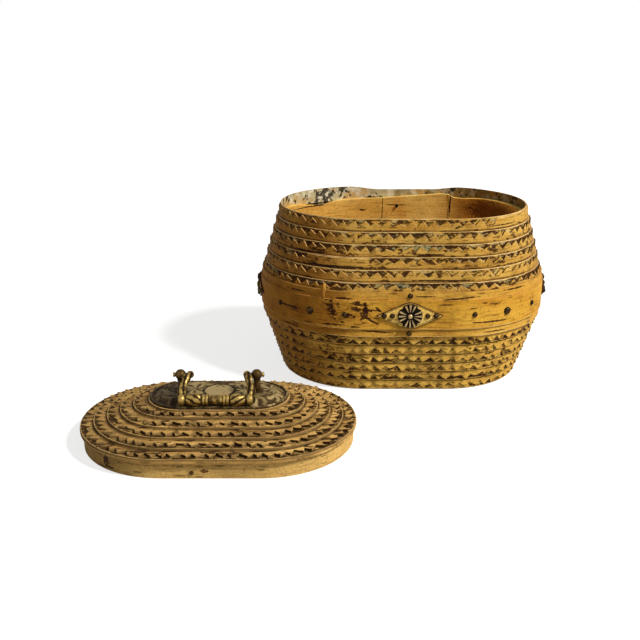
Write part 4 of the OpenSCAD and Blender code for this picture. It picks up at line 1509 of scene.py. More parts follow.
    def add_tacks(self) -> None:
        """Drives in the tacks of the lozenges, the band and the strip."""
        ways = (1, -1)
        lozenge = [self.on_belt(side, way * out, 0, self.seat_radius)
                   for out in self.tack_outs for side in Side for way in ways]
        above = (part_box("middle_band")[1].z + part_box("wide_strip")[1].z) / 2 - self.middle
        band = [self.on_belt(side, 0, way * above, self.strip_radius)
                for side in (Side.FRONT, Side.BACK) for way in ways]
        for turn in self.tack_turns:
            band += self.on_ends(turn)
        large = self.on_ends(self.large_tack_turn)
        sets = (("lozenge_tacks", lozenge, self.tack_diameter), ("band_tacks", band, self.tack_diameter),
                ("large_tacks", large, self.large_tack_diameter))
        for node, places, diameter in sets:
            metal = self.kit.finishes["tack_metal"]
            piece = self.kit.studs.grow(f"{node}_domed", self.tack_head(diameter), places, metal, 0.07)
            settle(piece, Body.BOX, "tack_metal", node)


@dataclass
class Liner(SubAssembly):
    """The smooth inner wall: a wrap and a narrower back panel between two seams."""

    thick: float = 4.5 * MM
    foot_radius: float = 79.56 * MM
    top_radius: float = 81.8 * MM
    bends_at: tuple[float, float] = (70.5 * MM, 90.9 * MM)
    seam_left: float = -14 * MM
    seam_right: float = 58 * MM
    seam_gap: float = 0.5 * MM
    uneven_from: float = 138 * MM
    front_height: float = 156.5 * MM
    top_edge_at: tuple[tuple[float, float], ...] = (
        (-117, 156.5), (-102, 153.2), (-94, 151.2), (-85, 149.6), (-76, 148.9), (-71, 151.2), (-60, 152.8),
        (-50, 153.5), (-28, 154.3), (-15, 154.9), (15, 157.1), (47, 159.5), (56, 159.2), (61, 155.8),
        (70, 155.2), (87, 157.2), (117, 159),
    )

    def build(self) -> None:
        """Makes the wrap and the panel."""
        self.add_wall("liner_wrap", self.seam_left, self.seam_right, 300, True)
        left, right = (seam - self.seam_gap for seam in (self.seam_left, self.seam_right))
        self.add_wall("liner_back_panel", left, right, 72, False)

    def share_of(self, x: float, radius: float) -> float:
        """Share of the way round of a place on the back, right of its middle by x.

        Args:
            x: Sideways place.
            radius: End radius there.

        Returns:
            The share, below zero on the right half.
        """
        half = STRAIGHT / 2
        way = min(abs(x), half)
        if abs(x) > half:
            way += radius * math.asin(min(1, (abs(x) - half) / radius))
        return -math.copysign(way, x) / Oval().length(radius)

    def add_wall(self, node: str, left: float, right: float, columns: int, round_front: bool) -> None:
        """Makes one part of the liner.

        Args:
            node: The solid that it stands for.
            left: Sideways place of its end at the left seam.
            right: Sideways place of its end at the right seam.
            columns: Number of steps along it.
            round_front: Whether it runs round the front instead of across the back.
        """
        low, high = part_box("liner_wrap")
        heights = [low.z, *self.bends_at, high.z]
        radii = [self.foot_radius, high.y, high.y, self.top_radius]
        levels = np.array([8, 16, 28, 42, 56, 66, 70.5, 76, 86, 90.9, 98, 110, 124, 138, 149, 156]) * MM
        rows = [(level, 0.0) for level in levels] + [(level, -self.thick) for level in levels[::-1]]
        points, uv, inner = [], [], []
        for level, inset in rows:
            radius = float(np.interp(level, heights, radii)) + inset
            wave = 2.2 * MM * math.sin(level * 95) + 0.8 * MM * math.sin(level * 310)
            leaning = right + np.interp(level, [0.13, high.z], [0.0, -0.004]) + wave
            start, end = self.share_of(left + 0.15 * wave, radius), self.share_of(leaning, radius)
            shares = start + (end + round_front - start) * np.linspace(0, 1, columns + 1)
            x, _ = Oval().place(shares % 1.0, radius, radius)
            lift = self.top_edge(x, shares) - high.z
            z = level + lift * max(0.0, (level - self.uneven_from) / (high.z - self.uneven_from))
            sway = 0.25 * MM * np.sin(shares * 61 + level * 40) * (inset != 0)
            here = np.interp(z, heights, radii) + inset + sway - np.clip(z - high.z, 0, 1) * 0.28
            x, y = Oval().place(shares % 1.0, here, radius)
            points.append(np.stack([x, y, z], -1))
            uv.append(np.stack([(shares - 0.5) * Oval().length(radius), z], -1))
            inner.append(np.full(columns + 1, float(inset != 0)))
        faces, wide = [], columns + 1
        for row in range(len(rows)):
            below, above = row * wide, (row + 1) % len(rows) * wide
            faces += [(below + c, below + c + 1, above + c + 1, above + c) for c in range(columns)]
        for row in range(len(levels) - 1):
            back = len(rows) - 1 - row
            corners = [start * wide for start in (row, row + 1, back - 1, back)]
            faces += [tuple(corner + end for corner in corners) for end in (0, columns)]
        marks = {"inner_face": np.concatenate(inner)}
        piece = mesh_object(f"{node}_bark", np.concatenate(points), faces,
                            self.kit.finishes["liner_bark"], 40, np.concatenate(uv), marks)
        settle(piece, Body.BOX, "liner_bark", node)

    def top_edge(self, x: np.ndarray, shares: np.ndarray) -> np.ndarray:
        """Height of the uneven top edge along the wall.

        Args:
            x: Sideways places.
            shares: Shares of the way round.

        Returns:
            The heights.
        """
        at_x, height = np.array(self.top_edge_at).T * MM
        back = np.interp(x, at_x, height)
        front = self.front_height + 0.8 * MM * np.sin(x * 55)
        turn = (shares % 1.0) * 2 * math.pi
        weight = np.clip(0.5 + 0.9 * np.cos(turn), 0, 1)
        return back * weight + front * (1 - weight)


# The lid


@dataclass
class LidStack(SubAssembly):
    """The lid's five notched rings and the sheet under the handle; its band and board stay solids."""

    ring_count: int = 5
    margin: float = 1.5 * MM
    tooth_pitch: float = 9.3 * MM
    tooth_depth: float = 6 * MM
    top_straight: float = 60 * MM
    row_shades: tuple[float, ...] = (0.85, 0.7, 0.7, 0.6, 0.8)

    def build(self) -> None:
        """Makes the rings and the sheet on top."""
        for ring in range(1, self.ring_count + 1):
            plain = replace(self.plate(f"lid_plain_sheet_{ring}", 60 + ring),
                            row_shade=self.row_shades[ring - 1])
            teeth = round(Oval().length(plain.edge_radius) / self.tooth_pitch)
            toothed = replace(
                plain, edge_height=plain.edge_height - plain.thick_height,
                thick_height=plain.thick_height - 0.05 * MM, teeth=teeth, tooth_depth=self.tooth_depth,
                margin=self.margin, columns=teeth * 8, row_seed=70 + ring, lift=0.5 * MM,
                edge_noise=0.4 * MM,
            )
            self.sweep(f"lid_plain_sheet_{ring}", plain, "lid_plain_bark", Body.LID)
            self.sweep(f"lid_toothed_sheet_{ring}", toothed, "lid_toothed_bark", Body.LID)
        top = replace(self.plate("lid_top_sheet", 80), straight=self.top_straight, edge_noise=0.4 * MM)
        self.sweep("lid_top_sheet", top, "lid_plain_bark", Body.LID)

    def plate(self, node: str, seed: int) -> SheetCut:
        """A full oval plate.

        Args:
            node: The solid that gives its place and size.
            seed: Its random seed.

        Returns:
            The plate's sizes.
        """
        low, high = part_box(node)
        middle = (low + high) / 2
        return SheetCut(
            edge_radius=half_depth(node), edge_height=high.z, run=half_depth(node), lean=-1.0, climb=0.0,
            thick_height=low.z - high.z, edge_noise=0.7 * MM, wobble=0.22 * MM, row_seed=seed, row_shade=0.6,
            columns=240, rows=7, row_power=2.2, closed_middle=True, centre_x=middle.x, centre_y=middle.y,
        )


@dataclass(frozen=True)
class Shell:
    """One closed form of the bail, in millimetres from the pins' axis, on the lid's middle line."""

    points: np.ndarray
    faces: Faces
    proud: np.ndarray


@dataclass
class Handle(SubAssembly):
    """The pressed back plate and the cast bail; the posts, washers and nuts keep their solids.

    Its sizes are in millimetres, from the middle of the plate's underside.
    """

    plate_thick: float = 0.8
    border_height: float = 1.5
    shoulder_from: float = 3.4
    shoulder_to: float = 9.4
    field_height: float = 3.8
    shield_radius: float = 12.5
    shield_height: float = 0.5
    ball: float = 9.2
    neck_radius: float = 3.2
    reach: float = 26.0
    grip_height: float = 7.7
    elbow_x: float = 28.0
    groove_radius: float = 3.0
    gap: float = 0.3
    centre: Vector = field(init=False)
    plate_size: Vector = field(init=False)
    post_x: float = field(init=False)
    axis_height: float = field(init=False)

    def __post_init__(self) -> None:
        """Takes the plate's place and size, the posts' spacing and the pins' height from the frame."""
        low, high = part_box("handle_back_plate")
        self.plate_size = (high - low) / MM
        self.centre = Vector(((low.x + high.x) / 2, (low.y + high.y) / 2, low.z))
        left, right = (sum(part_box(post), Vector()).x / 2 for post in ("left_post", "right_post"))
        self.post_x = (right - left) / 2 / MM
        joints = {joint["name"]: joint for joint in frame["record"]["behaviour"]["joints"]}
        self.axis_height = (joints["bail_swing"]["pos_m"][2] - low.z) / MM

    @property
    def neck_x(self) -> float:
        """Sideways place of the round necks beside the posts."""
        return self.post_x - self.ball / 2 - self.gap - self.neck_radius

    def build(self) -> None:
        """Makes the back plate and the bail."""
        self.add_plate()
        self.add_bail()

    def relief(self, x: np.ndarray, y: np.ndarray, inset: float) -> tuple[np.ndarray, np.ndarray]:
        """Height of the pressed pattern on the back plate, in millimetres above its flat.

        Args:
            x: Sideways places from the plate's middle.
            y: Places from front to back.
            inset: Distance in from the plate's outline.

        Returns:
            The heights, and how proud each place stands for its finish.
        """
        form = np.interp(inset, [0, 0.35, 0.8, 1.2, 1.6, 2.1, 2.4, self.shoulder_from, self.shoulder_to],
                         [0.1, 0.9, 1.4, self.border_height, 1.4, 0.6, 0, 0, self.field_height])
        leaf = np.zeros_like(x)
        for root_x, root_y, size, lobes, phase in (
            (21, 3, 13, 7, 0.4), (44, 4, 11, 6, 1.7), (31, -13, 10, 6, 0.2), (47, -8, 9, 5, 2.2),
            (17, -14, 9, 6, 1.1), (30, 14, 10, 5, 0.8), (16, 16, 8, 6, 2.0),
        ):
            across, up = np.abs(x) - root_x, y - root_y
            far = np.hypot(across, up)
            vane = np.cos(lobes * np.arctan2(up, across) + 0.3 * far + phase)
            leaf = np.maximum(leaf, (0.45 + 0.55 * vane) * np.clip(1.3 - far / size, 0, 1) ** 0.5)
        clear = np.clip(np.hypot(np.abs(x) - self.post_x, y) - 5.2, 0, 1)
        leaf = np.clip(leaf, 0, 1) * clear * np.clip((inset - 2.8) / 1.2, 0, 1)
        out = np.hypot(x, y) / self.shield_radius
        shield = np.interp(out, [0, 0.93, 0.97, 1.0, 1.07, 1.14], [self.shield_height] * 3 + [0, -0.12, 0])
        notch = (np.abs(np.abs(x) * 1.1 - (11.2 - y)) < 0.9) & (y > 7.2) & (np.abs(x) < 4)
        high = form + np.where(out < 1.14, shield, 0.5 * leaf) - 0.25 * notch * (out < 1)
        rim = np.interp(inset, [0, 0.7, 1.2, 1.8, 2.3, 3.0], [0.2, 0.45, 0.55, 0.4, 0.12, 0.2])
        proud = np.where(out < 0.97, 0.95 - 0.9 * notch, np.where(out < 1.12, 0.0, 0.22 + 0.75 * leaf))
        return high, proud if inset > 3 else np.full_like(x, rim)

    def add_plate(self) -> None:
        """Makes the back plate with its border, raised field, leaves and smooth shield."""
        radius = self.plate_size.y / 2
        outline = Oval(self.plate_size.x - self.plate_size.y)
        border = [0, 0.2, 0.35, 0.6, 0.9, 1.2, 1.5, 1.75, 2.0, 2.2, 2.4, 2.8, 3.4]
        insets = np.concatenate([border, np.linspace(4, radius, 44)])
        columns, middle = 288, len(insets) - 1
        shares = np.arange(columns) / columns
        points, proud = [], []
        for inset in insets:
            x, y = outline.place(shares, radius - inset, radius)
            high, shown = self.relief(x, y, float(inset))
            points.append(np.stack([x, y, self.plate_thick + high], -1))
            proud.append(shown)
        field_ends = (radius, self.shoulder_to)
        under = [(inset, self.field_height) for inset in field_ends] + [(self.shoulder_from, 0), (0, 0)]
        for inset, level in under:
            x, y = outline.place(shares, radius - inset, radius)
            points.append(np.stack([x, y, np.full(columns, float(level))], -1))
            proud.append(np.full(columns, 0.3))
        faces = ring_faces(len(points), columns, True)
        faces = [face for face in faces if face[0] // columns != middle]
        piece = mesh_object("handle_back_plate_pressed", np.concatenate(points) * MM + self.centre, faces,
                            self.kit.finishes["plate_brass"], 70, marks={"proud": np.concatenate(proud)})
        settle(piece, Body.LID, "plate_brass", "handle_back_plate")

    def grip_outline(self, x: np.ndarray) -> np.ndarray:
        """Radius of the grip along its length, before its leaves are raised.

        Args:
            x: Distance from the grip's middle.

        Returns:
            The radii.
        """
        groove = self.groove_radius
        at = [0, 3, 5.7, 5.95, 6.2, 7.9, 8.2, 8.5, 8.8, 9.0, 10.8, 11.1, 11.6, 12.6,
              14.2, 16.3, 19, 22, 24.2, 25.0, 25.9, 27, 28.2, 29.6, 31, 32, 32.5]
        radius = [3.6, 3.5, 3.4, groove, 4.3, 4.4, 3.9, groove, 3.9, 4.4, 4.3, groove, 3.1, 4.0, 4.7, 4.95,
                  4.7, 4.0, 3.2, 3.1, 3.8, 4.4, 4.5, 4.2, 3.3, 2.0, 0.0]
        return np.interp(np.abs(x), at, radius)

    def add_bail(self) -> None:
        """Makes the bail: its grip with leaf-covered bulbs, and an arm, a neck and a pin on each side."""
        ends = (self.arm(), self.neck(), self.pin())
        placed = [(self.grip(), 1)] + [(shell, side) for side in (-1, 1) for shell in ends]
        points = np.concatenate([shell.points * [side, 1, 1] for shell, side in placed])
        proud = np.concatenate([shell.proud for shell, _ in placed])
        faces, start = [], 0
        for shell, _ in placed:
            faces += [tuple(corner + start for corner in face) for face in shell.faces]
            start += len(shell.points)
        points = (points + [0, 0, self.axis_height]) * MM + self.centre
        piece = mesh_object("bail_cast", points, faces, self.kit.finishes["handle_brass"], 75,
                            marks={"proud": proud})
        settle(piece, Body.BAIL, "handle_brass", "bail")

    def grip(self) -> Shell:
        """The turned and chased grip.

        Returns:
            Its shell.
        """
        x = np.linspace(-32.5, 32.5, 241)
        away, steps = np.abs(x)[:, None], 48
        turn = np.arange(steps) * 2 * math.pi / steps
        base = self.grip_outline(x)[:, None]
        bulb = np.interp(away, [11.5, 13, 23, 24.5], [0, 1, 1, 0])
        barrel = np.interp(away, [4.5, 5.8], [1, 0])
        leaf = np.abs(np.cos(2.5 * turn + 0.34 * away)) ** 0.7
        vein = 0.5 + 0.5 * np.cos(turn * 10 + 0.9 * away)
        raised = bulb * (leaf * 0.75 + vein * 0.12 - 0.35) + barrel * 0.12 * np.cos(6 * turn)
        radius = np.clip(base + raised * (base > 1), 0, 5.12)
        along = np.repeat(x[:, None], steps, 1)
        drop = self.grip_height - self.axis_height
        points = np.stack([along, radius * np.cos(turn) - self.reach, radius * np.sin(turn) + drop], -1)
        proud = np.clip(np.where(bulb > 0.3, leaf ** 1.5 * 0.95, (base - 2.9) / 1.5 + 0 * leaf), 0, 1)
        return Shell(points.reshape(-1, 3), ring_faces(len(x), steps), proud.ravel())

    def arm(self) -> Shell:
        """The right arm, from its neck by the post to its elbow.

        Returns:
            Its shell.
        """
        t = np.linspace(0, 1, 30)[:, None]
        fall, bow = self.grip_height - self.axis_height, self.neck_radius
        start = np.array([self.neck_x, 0, 0])
        crest = np.array([self.neck_x - 0.1 * bow, -0.3 * self.reach, 1.6 * bow])
        bend = np.array([self.elbow_x + 0.9 * bow, -0.55 * self.reach, 0.5 * fall])
        end = np.array([self.elbow_x, -self.reach, fall])
        near, far = (1 - t) ** 2, t ** 2
        path = near * (1 - t) * start + 3 * near * t * crest + 3 * (1 - t) * far * bend + far * t * end
        thick = np.interp(t, [0, 0.12, 0.3, 0.42, 0.5, 0.62, 0.8, 1],
                          [2.7, 2.6, 3.1, 3.5, 2.8, 3.1, 3.5, 3.2])
        ahead = np.gradient(path, axis=0)
        ahead /= np.linalg.norm(ahead, axis=1)[:, None]
        across = np.cross(ahead, [1.0, 0, 0])
        across /= np.linalg.norm(across, axis=1)[:, None]
        up = np.cross(across, ahead)
        turn = np.arange(20) * 2 * math.pi / 20
        lobe = 1 + 0.1 * np.cos(4 * turn + 7 * t)
        ring = across[:, None] * np.cos(turn)[:, None] + up[:, None] * np.sin(turn)[:, None]
        points = path[:, None] + ring * (thick * lobe)[..., None]
        caps = [np.repeat(tip[None, None], 20, 1) for tip in (path[0], path[-1])]
        points = np.concatenate([caps[0], points, caps[1]])
        proud = np.clip(np.pad((lobe - 0.9) * 4, ((1, 1), (0, 0))), 0, 1)
        return Shell(points.reshape(-1, 3), ring_faces(len(points), 20), proud.ravel())

    def neck(self) -> Shell:
        """The round neck that joins the right arm to its pin.

        Returns:
            Its shell.
        """
        steps, radius = np.linspace(0, math.pi, 13), self.neck_radius
        points, faces = turned([(radius * math.sin(step), -radius * math.cos(step)) for step in steps], 24)
        return Shell(points + [self.neck_x, 0, 0], faces, np.full(len(points), 0.5))

    def pin(self) -> Shell:
        """The pin through the right post's ball head, with its riveted end.

        Returns:
            Its shell.
        """
        head = self.post_x + self.ball / 2 + self.gap
        rivet = [(2.1, head), (2.3, head + 0.4), (2.2, head + 1.0), (1.4, head + 1.5), (0, head + 1.6)]
        points, faces = turned([(0, self.neck_x), (1.5, self.neck_x), (1.5, head), *rivet], 24)
        return Shell(points[:, [2, 1, 0]], faces, np.full(len(points), 0.5))


# Finishes, studio and assembly


def marks_on(foot: float, *marks: tuple) -> tuple[Mark, ...]:
    """Marks whose place and reach are written in millimetres.

    Args:
        foot: Height that the sheet's own coordinates start from, in metres.
        marks: Place along, height, half length, half height and any other fields of each mark.

    Returns:
        The marks.
    """
    made = []
    for x, z, half_length, half_height, *more in marks:
        made.append(Mark(x * MM, z * MM - foot, half_length * MM, half_height * MM, **(more or [{}])[0]))
    return tuple(made)


def bark_finishes() -> tuple[BarkFinish, ...]:
    """Lists the finishes of the bark.

    Returns:
        The finishes, each named for its material slot.
    """
    gold = dict(pale=light_of(220, 178, 88), deep=light_of(184, 136, 54), dark=light_of(54, 27, 4),
                edge=light_of(238, 204, 136), side_strength=0.78, side_from=-0.03)
    low_gold = gold | dict(pale=light_of(240, 194, 92), deep=light_of(208, 156, 62), side_from=-0.045,
                           edge=light_of(230, 182, 96), outer_bark=light_of(198, 164, 92))
    belt_gold = gold | dict(edge_width=0.8 * MM, lenticel_share=0.1, mottling=0.22, stain_level=0.8)
    strip_gold = belt_gold | dict(pale=light_of(228, 178, 78), deep=light_of(196, 142, 50))
    band_gold = belt_gold | dict(pale=light_of(230, 177, 68), deep=light_of(200, 143, 43))
    lid = dict(pale=light_of(238, 192, 112), deep=light_of(176, 132, 68), outer_bark=light_of(150, 122, 74),
               dark=light_of(42, 24, 6), edge=light_of(202, 170, 112), stain=light_of(60, 33, 9),
               side_colour=light_of(92, 68, 36), side_from=-0.19, side_to=-0.31, side_strength=0.6,
               honey=light_of(116, 76, 34), cut=light_of(128, 98, 54), mottling=0.5)
    lid_band = lid | dict(pale=light_of(234, 190, 110), deep=light_of(196, 152, 82), mottling=0.15)
    halo = dict(colour=light_of(128, 66, 18), soft=0.6, strength=0.4, ragged=0.8)
    blot, torn, solid = dict(ragged=1.5), dict(ragged=1.0), dict(edge_strength=0.0)
    black = light_of(26, 15, 8)
    strip_marks = marks_on(
        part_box("wide_strip")[0].z,
        (-72, 98, 14, 5, halo), (-71, 64, 16, 4, halo), (-62, 97, 9, 1.0), (103.5, 101.5, 12.5, 0.8),
        (-28.6, 65.6, 12, 0.9, dict(rise=-0.08)), (46, 97.4, 18.5, 0.8, dict(rise=0.088)),
        (14, 99.5, 9, 0.5), (84, 63.5, 13, 0.6), (-110, 99, 10, 0.8), (-118, 64, 12, 0.8),
    )
    band_marks = marks_on(
        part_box("middle_band")[0].z,
        (-75, 81, 12, 11, halo), (-104, 81, 8, 5, halo), (-48, 84, 13, 9, halo), (-117.5, 82, 13.5, 1.0),
        (76.5, 73.8, 19.5, 0.8, dict(rise=-0.023)), (-73.5, 89, 3, 8, blot), (-69.5, 83, 2.2, 4.5, blot),
        (-57, 81.3, 3.4, 2.4, blot), (-50.8, 80.3, 1.3, 1.3),
        (-45.5, 92.4, 7.5, 2.2, dict(rise=-0.2, ragged=1.2)),
        (-42, 87.1, 13, 1.7, dict(rise=-0.06, ragged=0.9)), (-41, 83.5, 3.2, 7, blot),
        (-34.4, 76.4, 6, 1.3, dict(rise=-0.5)), (-28, 87, 4, 1.3, dict(rise=-0.7)), (-73.5, 71.7, 8.5, 0.9),
        (-50, 70.6, 4, 0.8), (32, 92, 7, 0.6), (58, 88, 4, 0.5), (69, 92.5, 3, 0.6, blot),
        (80, 91, 5, 0.5, blot), (-62, 75, 2, 1, blot), (-66, 90, 1, 3, blot), (-49, 89.5, 4, 0.7, blot),
    )
    # The black marks lie in the crevice above the next course: dirt and painted shade.
    upper_marks = marks_on(
        0, (-67, 10, 33, 1.3, dict(row=17, colour=black)), (-100, 10.4, 20, 0.9, dict(row=16)),
        (30, 9.9, 30, 0.8, dict(row=18)), (20, 9.8, 12, 0.9, dict(row=16)), (90, 8.4, 16, 0.6, dict(row=14)),
    )
    behind_marks = marks_on(
        0, (8, 4, 19, 2.6, dict(row=13, colour=light_of(188, 180, 122), ragged=1.6, strength=0.5)),
        (-12, 4, 9, 3, dict(row=16, colour=light_of(142, 138, 100), ragged=1.6, strength=0.5)),
    )
    # A black mark in the crevice above the next course: dirt and painted shade.
    lower_marks = marks_on(0, (-70, 9.2, 16, 0.9, dict(row=-1, colour=black)))
    liner_marks = marks_on(
        0, (-0.8, 147, 10.8, 0.6), (-36, 141, 3, 1.2), (78.5, 145.8, 1.5, 1.6), (-14.4, 140, 0.5, 20),
        (-92.5, 149.6, 17.5, 0.7, dict(rise=-0.046)), (58, 148, 0.8, 12, dict(rise=-4)),
        # Painted shadow of the rim on the right of the back wall.
        (98, 145, 22, 12, dict(soft=0.6, colour=light_of(96, 46, 14))),
    )
    lid_band_marks = marks_on(
        0, (-150, 13.2, 85, 0.5, dict(strength=0.75)), (-190, 10.9, 60, 0.35, dict(strength=0.55)),
        (-250, 8.5, 2.6, 5.5, dict(ragged=0.7)), (-247.5, 3.2, 5, 1, dict(ragged=0.7)),
        (-256, 13, 5, 1.6, dict(ragged=1.2)), (-218, 14.6, 4, 0.6),
        (-170.3, 6.4, 3.2, 1.7, dict(ragged=0.9, strength=0.85, colour=light_of(84, 42, 16))),
    )
    lid_marks = marks_on(
        0, (-200, -170, 52, 36, dict(soft=0.8, strength=0.5, colour=light_of(64, 42, 22))),
        (-190, -218.3, 11, 0.7, dict(row=73)), (-217, -219.5, 11, 1.6, torn | dict(row=73)),
        (-150, -230.5, 20, 0.6, dict(row=72)), (-120, -219.5, 14, 0.8, torn | dict(row=73)),
        (-160, -210.5, 30, 0.8, dict(row=74)), (-200, -200, 16, 0.9, torn | dict(row=75)),
    )
    across, round_wall = dict(grain=Grain.ACROSS_PLATE), dict(grain=Grain.ROUND_WALL)
    return (
        BarkFinish("upper_toothed_bark", **gold, edge_width=0.85 * MM, grime_from=9.6 * MM,
                   grime_to=10.9 * MM, marks=upper_marks),
        BarkFinish("lower_toothed_bark", **low_gold, edge_width=0.85 * MM, grime_from=8.6 * MM,
                   grime_to=9.9 * MM, marks=lower_marks),
        BarkFinish("upper_plain_bark", **gold, dark_from=0.9 * MM, edge_width=1.3 * MM, edge_strength=0.95,
                   inside_pale=light_of(186, 174, 132), inside_deep=light_of(124, 102, 54),
                   marks=behind_marks),
        BarkFinish("lower_plain_bark", **low_gold, dark_from=0.9 * MM, edge_width=1.1 * MM,
                   edge_strength=0.75),
        BarkFinish("strip_bark", **strip_gold, marks=strip_marks),
        BarkFinish("band_bark", **band_gold, marks=band_marks),
        BarkFinish("liner_bark", pale=light_of(250, 208, 112), deep=light_of(230, 180, 80),
                   dark=light_of(74, 34, 8), edge=light_of(226, 178, 104), honey=light_of(206, 140, 48),
                   lenticel_share=0.0, relief=0.12 * MM, stain_level=0.8, honey_strength=0.5,
                   patch_squeeze=0.4, mottling=0.1, marks=liner_marks, **round_wall, **solid),
        BarkFinish("lid_plain_bark", **lid, **across, dark_from=0.9 * MM, edge_width=1.0 * MM,
                   edge_strength=0.75),
        BarkFinish("lid_toothed_bark", **lid, **across, grime_from=8.6 * MM, grime_to=10.6 * MM,
                   stain_by_row=0.2, edge_width=0.9 * MM, marks=lid_marks),
        BarkFinish("lid_board_bark", **lid, **across, **solid),
        BarkFinish("lid_band_bark", **lid_band, **round_wall, **solid, honey_strength=0.1,
                   marks=lid_band_marks),
        BarkFinish("bottom_wood", pale=light_of(176, 128, 70), deep=light_of(132, 88, 42),
                   dark=light_of(60, 36, 14), edge=light_of(190, 150, 96), lenticel_share=0.05,
                   **across, **solid),
        LozengeFinish("lozenge_bark", pale=light_of(250, 210, 116), deep=light_of(238, 190, 88),
                      dark=light_of(56, 26, 10), edge=light_of(236, 202, 126), lenticel_share=0.04,
                      stain_level=0.84, mottling=0.1, honey_strength=0.0, **solid),
    )


def metal_finishes() -> tuple[MetalFinish, ...]:
    """Lists the finishes of the metal parts.

    Returns:
        The finishes, each named for its material slot.
    """
    brass, black = (light_of(66, 48, 22), light_of(20, 12, 5)), light_of(9, 6, 3)
    return (
        MetalFinish("plate_brass", light_of(158, 136, 90), light_of(68, 50, 26), light_of(26, 17, 8),
                    metallic=0.5, roughness=0.5, patchiness=0.7, tarnish_from=-0.184),
        MetalFinish("handle_brass", light_of(156, 130, 72), *brass, roughness=0.42, patchiness=1.1),
        MetalFinish("nut_brass", light_of(106, 82, 40), *brass, plain_height=0.3, patchiness=0.8),
        MetalFinish("rosette_metal", light_of(166, 140, 98), light_of(30, 21, 12), black, roughness=0.38,
                    patchiness=0.25),
        MetalFinish("tack_metal", light_of(64, 47, 27), light_of(22, 14, 8), black, roughness=0.2),
    )


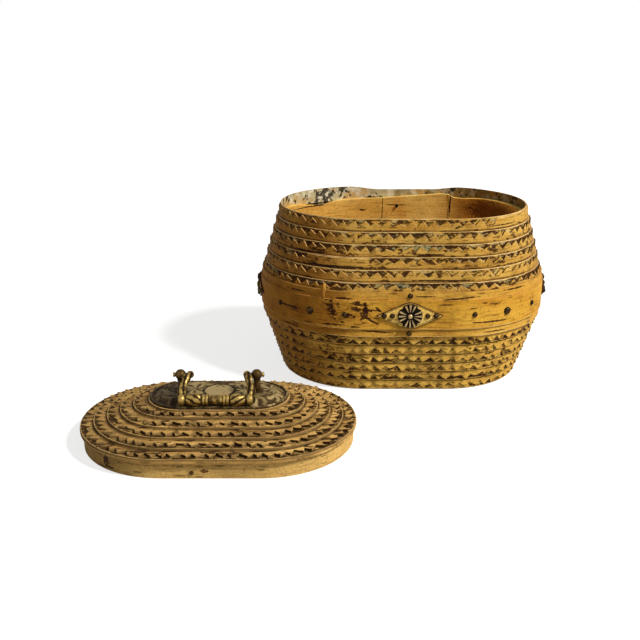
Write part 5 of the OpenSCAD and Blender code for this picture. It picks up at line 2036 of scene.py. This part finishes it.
@dataclass
class Studio:
    """The pale floor, the soft light and the camera."""

    camera_at: Point = (-0.0817, -0.8721, 0.3377)
    camera_down: float = 0.326
    lens: float = 50.2
    key_at: Point = (1.10, -0.78, 1.53)
    key_size: float = 0.25
    key_power: float = 50.0
    fill_at: Point = (-0.6, -2.0, 1.2)
    fill_size: float = 1.6
    fill_power: float = 3.0
    lamps_face: Point = (-0.06, -0.06, 0.07)
    world_level: float = 0.2
    floor_size: float = 60.0

    def build(self) -> None:
        """Sets up the view, the lights, the world and the floor."""
        scene = bpy.context.scene
        scene.view_settings.view_transform = "Standard"
        camera = bpy.data.objects.new("camera", bpy.data.cameras.new("camera"))
        camera.location = self.camera_at
        camera.rotation_euler = Euler((math.pi / 2 - self.camera_down, 0, 0))
        camera.data.lens = self.lens
        camera.data.sensor_width = 36
        camera.data.clip_start = 0.01
        camera.data.clip_end = 100
        scene.collection.objects.link(camera)
        scene.camera = camera
        self.add_lamp("key", self.key_at, self.key_size, self.key_power)
        self.add_lamp("fill", self.fill_at, self.fill_size, self.fill_power)
        self.set_world()
        self.lay_floor()

    def add_lamp(self, name: str, place: Point, size: float, power: float) -> None:
        """Adds one soft square lamp.

        Args:
            name: The lamp's name.
            place: Where it hangs.
            size: Length of its side.
            power: Its power in watts.
        """
        data = bpy.data.lights.new(name, "AREA")
        data.size = size
        data.energy = power
        lamp = bpy.data.objects.new(name, data)
        lamp.location = place
        aim = Vector(self.lamps_face) - Vector(place)
        lamp.rotation_euler = aim.to_track_quat("-Z", "Y").to_euler()
        bpy.context.scene.collection.objects.link(lamp)

    def set_world(self) -> None:
        """Lights the object evenly and shows white behind it."""
        world = bpy.data.worlds.new("studio")
        bpy.context.scene.world = world
        world.use_nodes = True
        pad = NodePad(world.node_tree)
        background = world.node_tree.nodes["Background"]
        background.inputs["Color"].default_value = (1, 1, 1, 1)
        pad.feed(background.inputs["Strength"], pad.spread(pad.seen(), 0, 1, self.world_level, 1.0))

    def lay_floor(self) -> None:
        """Lays the pale floor that the box and the lid stand on."""
        material = bpy.data.materials.new("floor_white")
        material.use_nodes = True
        pad = NodePad(material.node_tree)
        pad.tree.nodes.remove(pad.tree.nodes["Principled BSDF"])
        matt = pad.put("ShaderNodeBsdfDiffuse", {"Color": (0.45, 0.445, 0.43, 1)})
        place = pad.put("ShaderNodeTexCoord").outputs["Object"]
        far = pad.put("ShaderNodeVectorMath", {0: place}, operation="LENGTH").outputs["Value"]
        level = pad.times(pad.seen(), pad.spread(far, 0.45, 1.5, 0.74, 1.0, smooth=True))
        glow = pad.put("ShaderNodeEmission", {"Color": (1, 1, 1, 1), "Strength": level})
        both = pad.put("ShaderNodeAddShader", {0: matt.outputs[0], 1: glow.outputs[0]})
        pad.feed(pad.tree.nodes["Material Output"].inputs["Surface"], both.outputs[0])
        half = self.floor_size / 2
        floor = bpy.data.meshes.new("floor")
        corners = [(x * half, y * half, 0) for x, y in ((-1, -1), (1, -1), (1, 1), (-1, 1))]
        floor.from_pydata(corners, [], [(0, 1, 2, 3)])
        floor.materials.append(material)
        piece = bpy.data.objects.new("floor", floor)
        bpy.context.scene.collection.objects.link(piece)


def dress_solids(finishes: dict[str, bpy.types.Material]) -> None:
    """Gives the solids that keep their shape their finish.

    Args:
        finishes: The materials by slot.
    """
    for node, slot in (
        ("bottom_board", "bottom_wood"), ("liner_nails", "tack_metal"), ("lid_band_nail", "nut_brass"),
        ("lid_side_band", "lid_band_bark"), ("lid_board", "lid_board_bark"), ("left_post", "nut_brass"),
        ("right_post", "nut_brass"), ("post_washers", "nut_brass"), ("post_nuts", "nut_brass"),
    ):
        solid = frame["nodes"][node]
        solid.data.materials.clear()
        solid.data.materials.append(finishes[slot])
        LOG.info("%s keeps its solid in %s", node, slot)


def main() -> None:
    """Builds the studio, the finishes and every sub-assembly in order."""
    logging.basicConfig(level=logging.INFO, format="%(name)s %(message)s", stream=sys.stdout)
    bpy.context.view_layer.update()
    Studio().build()
    effects = Effects()
    finishes = {finish.name: finish.build(effects) for finish in (*bark_finishes(), *metal_finishes())}
    kit = Kit(SheetTree(), StudTree(), finishes)
    CourseWall(kit, "upper", Facing.UP, (0.6, 0.75, 0.95, 0.85, 0.65, 1.05),
               {4: (-0.098, -0.037), 1: (0.079, 0.15)}, rim_dip=3 * MM).build()
    CourseWall(kit, "lower", Facing.DOWN, (0.5, 0.8, 0.6, 0.75, 0.55, 1.0)).build()
    Belt(kit).build()
    Liner(kit).build()
    LidStack(kit).build()
    Handle(kit).build()
    dress_solids(finishes)


if __name__ == "__main__":
    main()
